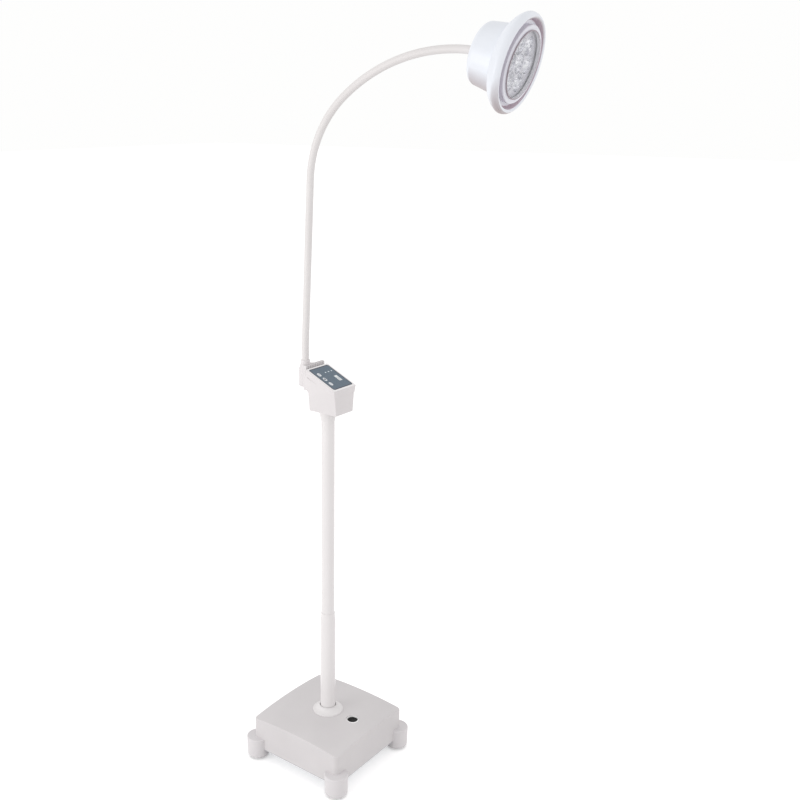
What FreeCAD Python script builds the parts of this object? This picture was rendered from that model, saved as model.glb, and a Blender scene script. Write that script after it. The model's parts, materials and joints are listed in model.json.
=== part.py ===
"""Mobile battery examination lamp: castored base, telescopic pole, control box, gooseneck, LED head.

Millimetres, +Z up. The origin is on the floor under the pole. +X is the front of the base, the side
that the control panel slopes down to. The gooseneck's plane is turned a little from +X about the
axis of its own boss.
"""
import FreeCAD
import Part
import math
import os

Vector = FreeCAD.Vector

# ---- driving dimensions --------------------------------------------------------------------------
# fits and clearances
FIT = 0.05                  # radial clearance of parts fixed in each other
RUN = 0.08                  # radial clearance of a running or sliding fit
LOOSE = 0.3                 # clearance of parts that only pass each other

# base shell
BASE_SIDE = 270.0
BASE_CORNER_R = 12.0
BASE_CORNER_TOP_Z = 108.0   # height of the crowned top at the corners
BASE_CROWN = 14.0           # how much the middle of the top stands above its corners
BASE_EDGE_ROUND = 2.5
BASE_WALL_Z = 30.0          # underside of the side walls
BASE_WALL = 3.0
PLATE_T = 3.0
PLATE_INSET = 1.5
PLATE_SCREW_R = 2.0
PLATE_SCREW_HEAD_R = 4.0     # countersunk, flush with the plate
PLATE_SCREW_LENGTH = 14.0
PLATE_SCREW_SPACING = 110.0
SCREW_BOSS_R = 5.5
SCREW_BOSS_H = 16.0

# caster hoods at the corners, and the casters in them
HOOD_INSET = 8.0            # caster axis in from the faces of the base
HOOD_R = 29.0
HOOD_WELL_R = 25.2
HOOD_SHELF_Z = 58.0
HOOD_BOTTOM_Z = 4.0
HOOD_ROUND = 6.5
HOOD_DRAFT = 1.2            # how much narrower the hood is at its foot
HOOD_WEB = 8.0
STEM_R = 5.0
STEM_COLLAR_R = 8.0
FORK_HUB_R = 13.0
FORK_BLADE_T = 4.4
CASTER_TRAIL = 6.0
WHEEL_R = 16.0
WHEEL_TREAD = 7.0
WHEEL_HUB_R = 4.0
WHEEL_CLEAR = 1.5           # over the tyres, under the hub
STEM_FLOOR = 2.0            # under the stem, at the bottom of the hub
STEM_COLLAR_H = 3.7

# ballast, battery, charger
BALLAST_END_GAP = 22.0      # from the faces of the base to the slab
BALLAST_SIDE_GAP = 50.0
BALLAST_T = 18.0
BATTERY_X = 62.0
BATTERY_Y = 140.0
BATTERY_Z = 46.0
BATTERY_FROM_END = 12.0     # from the rear end of the ballast
STRAP_T = 2.0
STRAP_WIDTH = 24.0
STRAP_FOOT = 9.0
BOARD_X = 84.0
BOARD_Y = 44.0
BOARD_T = 1.6
BOARD_AT_X = 40.0
BOARD_FROM_SIDE = 1.0       # from the long side of the ballast
BOARD_POST_H = 6.0
BOARD_POST_R = 3.0
BOARD_POST_INSET = 4.0
COIL_FROM_END = 10.0        # the transformer, its size and height
COIL_X = 28.0
COIL_Y = 26.0
COIL_H = 22.0
CAPACITOR_R = 5.0
CAPACITOR_H = 16.0
CAPACITOR_PITCH = 12.0
CAPACITOR_FROM_COIL = 10.0
CAPACITOR_OFF_MIDDLE = 9.0
DRIVER_X = 30.0
DRIVER_Y = 10.0
DRIVER_H = 5.0
DRIVER_FROM_SIDE = 8.0
INLET_W = 26.0
INLET_H = 20.0
INLET_DEPTH = 22.0
INLET_AT_Y = 52.0
INLET_AT_Z = 72.0
INLET_FLANGE = 4.0
INLET_FLANGE_T = 2.0
INLET_CAVITY_W = 17.0
INLET_CAVITY_H = 9.0
INLET_CAVITY_DEPTH = 16.0
INLET_PIN_R = 1.2
INLET_PIN_SPACING = 7.0

# round rocker switch in the top
SWITCH_AT_X = 76.0
SWITCH_AT_Y = 4.0
SWITCH_BEZEL_R = 15.8
SWITCH_BEZEL_T = 3.0
SWITCH_BODY_R = 14.5
SWITCH_OPENING_R = 13.5
SWITCH_BODY_H = 24.0
SWITCH_FLOOR = 2.5
ROCKER_R = 13.1
ROCKER_TILT = 7.0           # degrees each way
ROCKER_VALLEY = 4.8         # bottom of the V over the pins
ROCKER_DEPTH = 4.5
ROCKER_PIN_R = 1.5

# pole
LOWER_POLE_R = 19.0
LOWER_POLE_WALL = 2.0
LOWER_POLE_TOP_Z = 374.0
UPPER_POLE_R = 16.0
UPPER_POLE_WALL = 1.5
UPPER_POLE_BOTTOM_Z = 215.0
SOCKET_FLANGE_R = 37.0
SOCKET_FLANGE_T = 6.0
SOCKET_WALL = 4.0
SOCKET_TOP_Z = 104.0
SOCKET_BOLT_R = 3.0
SOCKET_BOLT_HEAD_R = 5.0
SOCKET_BOLT_HEAD_H = 4.0
POLE_FLANGE_R = 38.0
POLE_FLANGE_H = 14.0
POLE_FLANGE_LIP = 2.5
POLE_FLANGE_GAP = 1.6
POLE_FLANGE_NECK = 3.0
POLE_COLLAR_H = 22.0
POLE_COLLAR_LIP = 0.9
BUSH_LENGTH = 40.0
GLIDE_LENGTH = 30.0
GLIDE_SPIGOT = 20.0
GLIDE_BORE_R = 8.0

# control box
BOX_BOTTOM_Z = 922.0
BOX_FRONT_X = 50.0
BOX_REAR_X = -31.5
BOX_FOOT_WIDTH = 63.0
BOX_SIDE_DRAFT = 6.0        # degrees, each long side
BOX_WALL = 3.0
BOX_CORNER_R = 2.5
PANEL_TILT = 24.3           # degrees, down towards the front
LID_FRONT_X = 52.0
LID_REAR_X = -35.5
LID_WIDTH = 83.0
LID_FLARE = 3.0             # how much the lid narrows on each side down to the parting line
LID_FRONT_FLARE = 1.5
LID_WALL = 7.0
LID_TOP_T = 2.6
LID_SKIRT = 17.0
LID_CORNER_R = 4.0
LID_EDGE_ROUND = 1.4
LID_FRONT_Z = 983.0
TOWER_REAR_X = -46.0
TOWER_WIDTH = 68.0
TOWER_TOP_Z = 1029.0
TOWER_GAP = 1.6             # shadow gap between the lid and the raised rear ledge
LUG_BOTTOM_Z = 970.0
LUG_TOP_Z = 1024.0
LUG_END_HALF = 11.0         # half width of the lug at the boss, and at the ledge
LUG_ROOT_HALF = 30.0
BOSS_X = -68.0
BOSS_R = 16.0
BOSS_CYLINDER_TOP_Z = 1011.0
BOSS_SHOULDER_Z = 1027.0
BOSS_SHOULDER_R = 11.0
GUSSET = 13.0
BOX_COLLAR_H = 25.0
BOX_COLLAR_R = 21.5
BOX_COLLAR_LIP = 1.0
POLE_IN_BOX = 26.0
BOX_ABOVE = 40.0            # how far over the ledge go the shapes that the panel's plane cuts
BOX_SCREW_R = 1.5
BOX_SCREW_HEAD_R = 3.0
BOX_SCREW_HEAD_H = 2.0
BOX_SCREW_BITE = 9.0
BOX_SCREW_BOSS_R = 4.2

# keypad
OVERLAY_T = 0.8
OVERLAY_MARGIN = 6.0
OVERLAY_CORNER_R = 5.0
KEY_LENGTH = 12.5
KEY_WIDTH = 8.5
KEY_PROUD = 0.5
KEY_TRAVEL = 0.4
KEY_STEM_R = 2.0
KEY_ROW_Y = -23.0
KEY_FIRST_X = -17.5
KEY_SPACING = 19.0
DISPLAY_LENGTH = 20.0
DISPLAY_WIDTH = 10.0
DISPLAY_AT_X = 9.0
DISPLAY_AT_Y = 17.0
LAMP_DOT_R = 1.9
LAMP_DOT_FIRST_Y = 2.0
LAMP_DOT_SPACING = 11.0
LAMP_DOT_X = -19.0
CONTROL_BOARD_DROP = 12.0
CONTROL_BOARD_T = 1.6
CONTROL_BOARD_X = 48.0
CONTROL_BOARD_Y = 52.0
CONTROL_POST_R = 2.0
CONTROL_POST_INSET = 3.0
SWITCH_PAD_H = 2.0          # push switch under a key
SWITCH_PAD_HALF = 3.0
KEY_LOST_MOTION = 0.1       # between a key's stem at full travel and its switch
DISPLAY_MODULE_H = 4.0
DISPLAY_MODULE_INSET = 1.5  # from the edge of the window over it
CHIP_X = 14.0
CHIP_Y = 14.0
CHIP_H = 2.0
CHIP_AT_X = -5.0
CHIP_AT_Y = 1.0

# gooseneck, all in one upright plane: an upright foot, a slight lean, then three arcs
NECK_R = 8.5
NECK_BORE_R = 4.5
NECK_TURN = 6.0             # degrees, the neck's plane from +X
NECK_LENGTHS = (92.0, 16.8, 370.5, 202.8, 301.2, 36.5)     # mm of each stretch of the course
NECK_BENDS = (0.0, 2.4, 0.0, 47.5, 44.9, 11.2)             # degrees that each stretch turns
NECK_SEGMENTS = 8
NECK_CUP_BACK = 3.0
NECK_TAIL = 10.0            # how far the neck goes on inside the lamp head
NECK_NUT_R = 12.0
NECK_NUT_H = 7.0
NECK_FERRULE_H = 6.0
NECK_FERRULE_R = 11.0

# lamp head, from its back face forwards
HEAD_WALL = 3.0
HEAD_BACK_R = 62.5
HEAD_BACK_ROUND = 13.0
HEAD_DRUM_R = 69.0
HEAD_DRUM_LENGTH = 56.0
RIM_R = 97.5
RIM_WIDEST = 79.0
RIM_FRONT = 92.5
RIM_LIP_R = 92.0
RIM_LIP_INNER_R = 86.5
RIM_LIP_DEPTH = 2.0         # from the lip's crest to its inner edge
RIM_CROWN_OUT = 1.4         # how far the rim's rounded side stands out and forwards of a straight line
RIM_CROWN_FORWARD = 1.8
RIM_ROLL = 0.6
RIM_STEP = 3.0              # flat behind the groove's floor, inside the bell
RIM_BELLY = 4.5             # how far the bell bulges behind its straight line
GROOVE_FLOOR = 80.0
GROOVE_WALL_R = 84.0
GROOVE_FLOOR_T = 3.0
BEZEL_R = 75.0
BEZEL_LIP = 9.0             # width of the ring in front of the glass
BEZEL_FRONT = 93.2
BEZEL_FLANGE = 6.5
BEZEL_FLANGE_T = 1.5
BEZEL_GAP = 1.6             # between the bezel and the hole in the rim
BEZEL_EDGE = 1.5
BEZEL_LIP_T = 3.0
BEZEL_WALL = 4.0
GASKET_T = 1.0
GASKET_SLEEVE = 2.0         # thickness of the gasket's part in the bezel's window
GLASS_FLANGE_T = 3.0
GLASS_PROUD = 3.2           # the glass's front in front of the bezel
GLASS_EDGE = 0.7
GASKET_BACK_OFF = 0.8       # the gasket's front behind the glass's front
LENS_GAP = 0.7
LENS_PLATE_T = 3.0
CUP_SPACING = 40.0
CUP_R = 19.2
CUP_WALL = 1.2
CUP_FOOT_R = 7.5
CUP_BELLY = 2.5             # how far the cup's side bulges, and how far up
CUP_BELLY_AT = 0.42
CUP_PLATE_GAP = 1.0
CUP_HOLE_R = 4.0
LED_BOARD_R = 51.0
LED_BOARD_T = 1.6
LED_R = 2.6
LED_H = 2.2
LED_DOME_SINK = 0.4
SINK_R = 66.0
SINK_T = 4.0
SINK_FRONT = 64.0
SINK_FINS = 9
SINK_FIN_T = 2.0
SINK_FIN_PITCH = 9.0
SINK_FIN_DEPTH = 26.0
SINK_FIN_REACH = 50.0
HEAD_POST_R = 4.0
HEAD_POST_AT_R = 55.5
HEAD_POST_START = 6.5       # in the rounding of the back wall
HEAD_SCREW_R = 2.0
HEAD_SCREW_HEAD_R = 3.6
HEAD_SCREW_HEAD_H = 2.4
HEAD_SCREW_LENGTH = 14.0
FERRULE_FLANGE_R = 14.0
FERRULE_FLANGE_T = 5.0
FERRULE_BODY_R = 11.0
FERRULE_NUT_R = 15.0
FERRULE_NUT_H = 5.0

# ---- derived values ------------------------------------------------------------------------------
BASE_HALF = BASE_SIDE / 2
BASE_TOP_Z = BASE_CORNER_TOP_Z + BASE_CROWN
CORNER_REACH = (BASE_HALF - BASE_CORNER_R) * math.sqrt(2) + BASE_CORNER_R
DOME_R = (CORNER_REACH ** 2 + BASE_CROWN ** 2) / (2 * BASE_CROWN)
DOME_CENTRE = Vector(0, 0, BASE_TOP_Z - DOME_R)
HOOD_AT = BASE_HALF - HOOD_INSET
CORNERS = (("front_right", 1, -1), ("front_left", 1, 1), ("rear_right", -1, -1), ("rear_left", -1, 1))
WELL_TOP_Z = HOOD_SHELF_Z - HOOD_WEB
FORK_TOP_Z = WELL_TOP_Z - STEM_COLLAR_H - LOOSE
FORK_HUB_Z = 2 * WHEEL_R + WHEEL_CLEAR
PLATE_BOTTOM_Z = BASE_WALL_Z - PLATE_T
BALLAST_TOP_Z = BASE_WALL_Z + BALLAST_T
BALLAST_X = BASE_SIDE - 2 * BALLAST_END_GAP
BALLAST_Y = BASE_SIDE - 2 * BALLAST_SIDE_GAP
BATTERY_AT_X = BATTERY_FROM_END - BALLAST_X / 2 + BATTERY_X / 2
BOARD_AT_Y = BOARD_FROM_SIDE - BALLAST_Y / 2 + BOARD_Y / 2
SOCKET_FLOOR_Z = BASE_WALL_Z + SOCKET_FLANGE_T
SOCKET_R = LOWER_POLE_R + SOCKET_WALL
SOCKET_BOLT_PCR = (SOCKET_R + SOCKET_FLANGE_R) / 2
LOWER_POLE_BORE_R = LOWER_POLE_R - LOWER_POLE_WALL
UPPER_POLE_BORE_R = UPPER_POLE_R - UPPER_POLE_WALL
BOX_FLOOR_Z = BOX_BOTTOM_Z + BOX_WALL
TILT = math.radians(PANEL_TILT)
PANEL_MID_X = (LID_FRONT_X + LID_REAR_X) / 2
PANEL_MID_Z = LID_FRONT_Z + (LID_FRONT_X - PANEL_MID_X) * math.tan(TILT)
PANEL_FRAME = FreeCAD.Placement(Vector(PANEL_MID_X, 0, PANEL_MID_Z),
                                FreeCAD.Rotation(Vector(0, 1, 0), PANEL_TILT))
PANEL_LENGTH = (LID_FRONT_X - LID_REAR_X) / math.cos(TILT)
PARTING_DROP = LID_SKIRT * math.cos(TILT)
TOWER_FRONT_X = LID_REAR_X - TOWER_GAP
CUP_RADIUS = NECK_R + LOOSE
HUGE = 4 * BASE_SIDE


# ---- small tools ---------------------------------------------------------------------------------
def cylinder(radius, z0, z1, x=0.0, y=0.0):
    return Part.makeCylinder(radius, z1 - z0, Vector(x, y, z0))


def block(x0, x1, y0, y1, z0, z1):
    return Part.makeBox(x1 - x0, y1 - y0, z1 - z0, Vector(x0, y0, z0))


def joined(shapes):
    whole = shapes[0]
    for shape in shapes[1:]:
        whole = whole.fuse(shape)
    return whole.removeSplitter()


def group(solids):
    return Part.makeCompound(solids)


def turned(edges):
    """A solid of revolution about Z from a closed outline of edges in the XZ plane."""
    outline = Part.Wire(Part.__sortEdges__(edges))
    return Part.Face(outline).revolve(Vector(0, 0, 0), Vector(0, 0, 1), 360)


def at(radius, z):
    return Vector(radius, 0, z)


def path(*points):
    return [Part.makeLine(at(*a), at(*b)) for a, b in zip(points, points[1:])]


def turned_polygon(*points):
    return turned(path(*points, points[0]))


def arc(a, b, c):
    return Part.Arc(at(*a), at(*b), at(*c)).toShape()


def rounded_outline(x0, x1, y0, y1, radius, z):
    """A rectangle with round corners, as a closed wire at height z."""
    bend = radius * (1 - math.sqrt(0.5))
    corner = ((x1, y0, -1, 1), (x1, y1, -1, -1), (x0, y1, 1, -1), (x0, y0, 1, 1))
    edges = []
    ends = []
    for number, (x, y, sx, sy) in enumerate(corner):
        along_x = Vector(x + sx * radius, y, z)
        along_y = Vector(x, y + sy * radius, z)
        first, last = (along_x, along_y) if number % 2 == 0 else (along_y, along_x)
        edges.append(Part.Arc(first, Vector(x + sx * bend, y + sy * bend, z), last).toShape())
        ends.append((first, last))
    for (_, last), (first, _) in zip(ends, ends[1:] + ends[:1]):
        edges.append(Part.makeLine(last, first))
    return Part.Wire(Part.__sortEdges__(edges))


def rounded_prism(x0, x1, y0, y1, radius, z0, z1):
    face = Part.Face(rounded_outline(x0, x1, y0, y1, radius, z0))
    return face.extrude(Vector(0, 0, z1 - z0))


def stadium(length, width, z0, z1, x, y):
    """An upright prism with a slot-shaped outline, its long side along X."""
    end = width / 2
    half = length / 2 - end
    middle = block(x - half, x + half, y - end, y + end, z0, z1)
    return joined([middle, cylinder(end, z0, z1, x - half, y), cylinder(end, z0, z1, x + half, y)])


def hexagon(across_corners, z0, z1, x=0.0, y=0.0):
    points = [Vector(x + across_corners * math.cos(math.radians(60 * k)),
                     y + across_corners * math.sin(math.radians(60 * k)), z0) for k in range(7)]
    return Part.Face(Part.makePolygon(points)).extrude(Vector(0, 0, z1 - z0))


def placed(shape, frame):
    moved = shape.copy()
    moved.Placement = frame.multiply(moved.Placement)
    return moved


def above_panel(local_z):
    """Everything above a plane parallel to the panel, local_z over the lid's top."""
    return placed(block(-HUGE, HUGE, -HUGE, HUGE, local_z, local_z + HUGE), PANEL_FRAME)


def below_panel(local_z):
    return placed(block(-HUGE, HUGE, -HUGE, HUGE, local_z - HUGE, local_z), PANEL_FRAME)


def save(name, shape):
    shape.exportStep(f"parts/{name}.step")


# ---- base ----------------------------------------------------------------------------------------
def dome(drop=0.0):
    return Part.makeSphere(DOME_R - drop, DOME_CENTRE)


def hood():
    """The round housing of one caster, solid, about its own axis."""
    foot_r = HOOD_R - HOOD_DRAFT
    round_mid = HOOD_ROUND * (1 - math.sqrt(0.5))
    outline = path((0, HOOD_BOTTOM_Z), (foot_r - HOOD_ROUND, HOOD_BOTTOM_Z))
    outline.append(arc((foot_r - HOOD_ROUND, HOOD_BOTTOM_Z),
                       (foot_r - round_mid, HOOD_BOTTOM_Z + round_mid),
                       (foot_r, HOOD_BOTTOM_Z + HOOD_ROUND)))
    outline += path((foot_r, HOOD_BOTTOM_Z + HOOD_ROUND), (HOOD_R, HOOD_SHELF_Z - 1.5),
                    (HOOD_R - 1.5, HOOD_SHELF_Z), (0, HOOD_SHELF_Z), (0, HOOD_BOTTOM_Z))
    return turned(outline)


def plate_screw_places():
    edge = BASE_HALF - BASE_WALL - SCREW_BOSS_R + 1
    half = PLATE_SCREW_SPACING / 2
    for side in (-1, 1):
        for along in (-half, half):
            yield side * edge, along
            yield along, side * edge


def screw_cone(grow, x, y):
    """The countersunk head of a plate screw, flush with the plate's underside."""
    depth = PLATE_SCREW_HEAD_R - PLATE_SCREW_R
    return Part.makeCone(PLATE_SCREW_HEAD_R + grow, PLATE_SCREW_R + grow, depth,
                         Vector(x, y, PLATE_BOTTOM_Z))


def base_cover():
    half = BASE_HALF
    outer = rounded_prism(-half, half, -half, half, BASE_CORNER_R, BASE_WALL_Z, BASE_TOP_Z + 1)
    outer = outer.common(dome())
    rim = [e for e in outer.Edges if e.BoundBox.ZMin > BASE_CORNER_TOP_Z - 1]
    outer = outer.makeFillet(BASE_EDGE_ROUND, rim)
    half -= BASE_WALL
    inner = rounded_prism(-half, half, -half, half, BASE_CORNER_R - BASE_WALL,
                          BASE_WALL_Z, BASE_TOP_Z)
    inner = inner.common(dome(BASE_WALL))
    hoods = []
    for _, sx, sy in CORNERS:
        hoods.append(hood().translated(Vector(sx * HOOD_AT, sy * HOOD_AT, 0)))
    for one in hoods:
        inner = inner.cut(one)
    cover = joined([outer] + hoods).cut(inner)
    bosses = [cylinder(SCREW_BOSS_R, BASE_WALL_Z, BASE_WALL_Z + SCREW_BOSS_H, x, y)
              for x, y in plate_screw_places()]
    cover = joined([cover] + bosses)
    for _, sx, sy in CORNERS:
        x, y = sx * HOOD_AT, sy * HOOD_AT
        cover = cover.cut(cylinder(HOOD_WELL_R, HOOD_BOTTOM_Z - 1, WELL_TOP_Z, x, y))
        cover = cover.cut(cylinder(STEM_R + FIT, WELL_TOP_Z - 1, HOOD_SHELF_Z - 1.5, x, y))
    for x, y in plate_screw_places():
        cover = cover.cut(cylinder(PLATE_SCREW_R + FIT, BASE_WALL_Z - 1,
                                   PLATE_BOTTOM_Z + PLATE_SCREW_LENGTH + 1, x, y))
    cover = cover.cut(cylinder(LOWER_POLE_R + POLE_FLANGE_GAP, BASE_WALL_Z, BASE_TOP_Z + 1))
    cover = cover.cut(cylinder(SWITCH_BODY_R + LOOSE, BASE_WALL_Z + SCREW_BOSS_H, BASE_TOP_Z,
                               SWITCH_AT_X, SWITCH_AT_Y))
    cover = cover.cut(cylinder(SWITCH_BEZEL_R + LOOSE, SWITCH_SEAT_Z, BASE_TOP_Z,
                               SWITCH_AT_X, SWITCH_AT_Y))
    half_w = INLET_W / 2 + FIT
    half_h = INLET_H / 2 + FIT
    cover = cover.cut(block(-BASE_HALF - 1, -BASE_HALF + BASE_WALL + 1, INLET_AT_Y - half_w,
                            INLET_AT_Y + half_w, INLET_AT_Z - half_h, INLET_AT_Z + half_h))
    return cover


def base_plate():
    half = BASE_HALF - PLATE_INSET
    plate = rounded_prism(-half, half, -half, half, BASE_CORNER_R - PLATE_INSET,
                          PLATE_BOTTOM_Z, BASE_WALL_Z)
    for _, sx, sy in CORNERS:
        plate = plate.cut(cylinder(HOOD_R + LOOSE, 0, HOOD_SHELF_Z, sx * HOOD_AT, sy * HOOD_AT))
    for x, y in plate_screw_places():
        plate = plate.cut(cylinder(PLATE_SCREW_R + FIT, 0, BASE_WALL_Z + 1, x, y))
        plate = plate.cut(screw_cone(FIT, x, y))
    for x, y in socket_bolt_places():
        plate = plate.cut(cylinder(SOCKET_BOLT_R + FIT, 0, BASE_WALL_Z + 1, x, y))
    return plate


def plate_screws():
    screws = []
    for x, y in plate_screw_places():
        shank = cylinder(PLATE_SCREW_R, PLATE_BOTTOM_Z, PLATE_BOTTOM_Z + PLATE_SCREW_LENGTH, x, y)
        screws.append(joined([screw_cone(0, x, y), shank]))
    return group(screws)


def ballast_block():
    x, y = BALLAST_X / 2, BALLAST_Y / 2
    slab = rounded_prism(-x, x, -y, y, 8, BASE_WALL_Z, BALLAST_TOP_Z)
    return slab.cut(cylinder(SOCKET_FLANGE_R + LOOSE, BASE_WALL_Z - 1, BALLAST_TOP_Z + 1))


def battery_pack():
    x, y = BATTERY_X / 2, BATTERY_Y / 2
    case = rounded_prism(BATTERY_AT_X - x, BATTERY_AT_X + x, -y, y, 4,
                         BALLAST_TOP_Z, BALLAST_TOP_Z + BATTERY_Z)
    posts = [block(BATTERY_AT_X + x - 14, BATTERY_AT_X + x - 6, side * (y - 12) - 3,
                   side * (y - 12) + 3, BALLAST_TOP_Z + BATTERY_Z, BALLAST_TOP_Z + BATTERY_Z + 6)
             for side in (-1, 1)]
    return joined([case] + posts)


def battery_strap():
    """A steel strap over the battery, with a foot each side on the ballast."""
    x0 = BATTERY_AT_X - BATTERY_X / 2 - FIT
    x1 = BATTERY_AT_X + BATTERY_X / 2 + FIT
    top = BALLAST_TOP_Z + BATTERY_Z
    half = STRAP_WIDTH / 2
    outside = block(x0 - STRAP_T, x1 + STRAP_T, -half, half, BALLAST_TOP_Z, top + STRAP_T)
    strap = outside.cut(block(x0, x1, -half - 1, half + 1, BALLAST_TOP_Z - 1, top))
    rear_foot = block(x0 - STRAP_FOOT, x0, -half, half, BALLAST_TOP_Z, BALLAST_TOP_Z + STRAP_T)
    return joined([strap, rear_foot])


def charger_board():
    """Circuit board on four short posts, with its transformer and capacitors."""
    x0, x1 = BOARD_AT_X - BOARD_X / 2, BOARD_AT_X + BOARD_X / 2
    y0, y1 = BOARD_AT_Y - BOARD_Y / 2, BOARD_AT_Y + BOARD_Y / 2
    z0 = BALLAST_TOP_Z + BOARD_POST_H
    z1 = z0 + BOARD_T
    pieces = [block(x0, x1, y0, y1, z0, z1)]
    for x in (x0 + BOARD_POST_INSET, x1 - BOARD_POST_INSET):
        for y in (y0 + BOARD_POST_INSET, y1 - BOARD_POST_INSET):
            pieces.append(cylinder(BOARD_POST_R, BALLAST_TOP_Z, z0, x, y))
    coil_x = x0 + COIL_FROM_END
    pieces.append(block(coil_x, coil_x + COIL_X, BOARD_AT_Y - COIL_Y / 2, BOARD_AT_Y + COIL_Y / 2,
                        z1, z1 + COIL_H))
    first_x = coil_x + COIL_X + CAPACITOR_FROM_COIL
    for number in range(3):
        pieces.append(cylinder(CAPACITOR_R, z1, z1 + CAPACITOR_H, first_x + CAPACITOR_PITCH * number,
                               BOARD_AT_Y + CAPACITOR_OFF_MIDDLE))
    driver_x, driver_y = first_x - CAPACITOR_R + 1, y0 + DRIVER_FROM_SIDE
    pieces.append(block(driver_x, driver_x + DRIVER_X, driver_y, driver_y + DRIVER_Y, z1, z1 + DRIVER_H))
    return joined(pieces)


def charge_inlet():
    """Two-pin appliance inlet snapped into the rear wall."""
    x = -BASE_HALF
    half_w, half_h = INLET_W / 2, INLET_H / 2
    flange = rounded_prism(-half_h - INLET_FLANGE, half_h + INLET_FLANGE, -half_w - INLET_FLANGE,
                           half_w + INLET_FLANGE, 3, 0, INLET_FLANGE_T)
    body = block(-half_h, half_h, -half_w, half_w, -INLET_DEPTH, 0)
    cavity = stadium(INLET_CAVITY_W, INLET_CAVITY_H, INLET_FLANGE_T - INLET_CAVITY_DEPTH,
                     INLET_FLANGE_T + 1, 0, 0)
    cavity.rotate(Vector(0, 0, 0), Vector(0, 0, 1), 90)
    inlet = joined([flange, body]).cut(cavity)
    pins = [cylinder(INLET_PIN_R, INLET_FLANGE_T - INLET_CAVITY_DEPTH - 1, -1, 0,
                     side * INLET_PIN_SPACING / 2) for side in (-1, 1)]
    inlet = joined([inlet] + pins)
    facing_out = FreeCAD.Placement(Vector(x, INLET_AT_Y, INLET_AT_Z),
                                   FreeCAD.Rotation(Vector(0, 1, 0), -90))
    return placed(inlet, facing_out)


# ---- switch --------------------------------------------------------------------------------------
SWITCH_REACH = math.hypot(SWITCH_AT_X, SWITCH_AT_Y) + SWITCH_BEZEL_R
SWITCH_RIM_Z = DOME_CENTRE.z + math.sqrt(DOME_R ** 2 - SWITCH_REACH ** 2)
SWITCH_SEAT_Z = SWITCH_RIM_Z - 2.0
ROCKER_PIVOT_Z = SWITCH_SEAT_Z - 4.0


def rocker_pins(radius, reach):
    return Part.makeCylinder(radius, 2 * reach, Vector(0, -reach, 0), Vector(0, 1, 0))


def switch_housing():
    """Round snap-in housing with an open cup for the rocker."""
    top = SWITCH_SEAT_Z + SWITCH_BEZEL_T
    outline = turned_polygon((SWITCH_OPENING_R, top), (SWITCH_BEZEL_R - 1, top),
                             (SWITCH_BEZEL_R, top - 1), (SWITCH_BEZEL_R, SWITCH_SEAT_Z),
                             (SWITCH_BODY_R, SWITCH_SEAT_Z), (SWITCH_BODY_R, top - SWITCH_BODY_H),
                             (0, top - SWITCH_BODY_H), (0, top - SWITCH_BODY_H + SWITCH_FLOOR),
                             (SWITCH_OPENING_R, top - SWITCH_BODY_H + SWITCH_FLOOR))
    pin_holes = rocker_pins(ROCKER_PIN_R + RUN, SWITCH_BODY_R + 1).translated(Vector(0, 0, ROCKER_PIVOT_Z))
    return outline.cut(pin_holes).translated(Vector(SWITCH_AT_X, SWITCH_AT_Y, 0))


def switch_rocker():
    """The rocking button, pressed to one side: a ball on two pins, with a shallow V on top."""
    ball = Part.makeSphere(ROCKER_R)
    body = ball.common(block(-HUGE, HUGE, -HUGE, HUGE, -ROCKER_DEPTH, HUGE))
    wings = []
    for side in (-1, 1):
        wing = block(-HUGE, HUGE, -HUGE, HUGE, 0, HUGE)
        wing.rotate(Vector(0, 0, 0), Vector(0, 1, 0), side * ROCKER_TILT)
        wings.append(wing.translated(Vector(0, 0, ROCKER_VALLEY)))
    body = body.cut(wings[0].common(wings[1]))
    body = joined([body, rocker_pins(ROCKER_PIN_R, SWITCH_BODY_R - LOOSE)])
    body.rotate(Vector(0, 0, 0), Vector(0, 1, 0), -ROCKER_TILT)
    body.translate(Vector(SWITCH_AT_X, SWITCH_AT_Y, ROCKER_PIVOT_Z))
    return body


# ---- pole ----------------------------------------------------------------------------------------
def socket_bolt_places():
    for k in range(4):
        turn = math.radians(45 + 90 * k)
        yield SOCKET_BOLT_PCR * math.cos(turn), SOCKET_BOLT_PCR * math.sin(turn)


def pole_socket():
    """Steel cup bolted to the base plate, which the lower pole stands in."""
    bore = LOWER_POLE_R + FIT
    socket = turned_polygon((0, BASE_WALL_Z), (SOCKET_FLANGE_R, BASE_WALL_Z),
                            (SOCKET_FLANGE_R, SOCKET_FLOOR_Z), (SOCKET_R, SOCKET_FLOOR_Z),
                            (SOCKET_R, SOCKET_TOP_Z), (bore, SOCKET_TOP_Z),
                            (bore, SOCKET_FLOOR_Z), (0, SOCKET_FLOOR_Z))
    for x, y in socket_bolt_places():
        socket = socket.cut(cylinder(SOCKET_BOLT_R + FIT, BASE_WALL_Z - 1, SOCKET_FLOOR_Z + 1, x, y))
    return socket


def socket_bolts():
    bolts = []
    for x, y in socket_bolt_places():
        head = hexagon(SOCKET_BOLT_HEAD_R, SOCKET_FLOOR_Z, SOCKET_FLOOR_Z + SOCKET_BOLT_HEAD_H, x, y)
        bolts.append(joined([head, cylinder(SOCKET_BOLT_R, PLATE_BOTTOM_Z, SOCKET_FLOOR_Z, x, y)]))
    return group(bolts)


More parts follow.
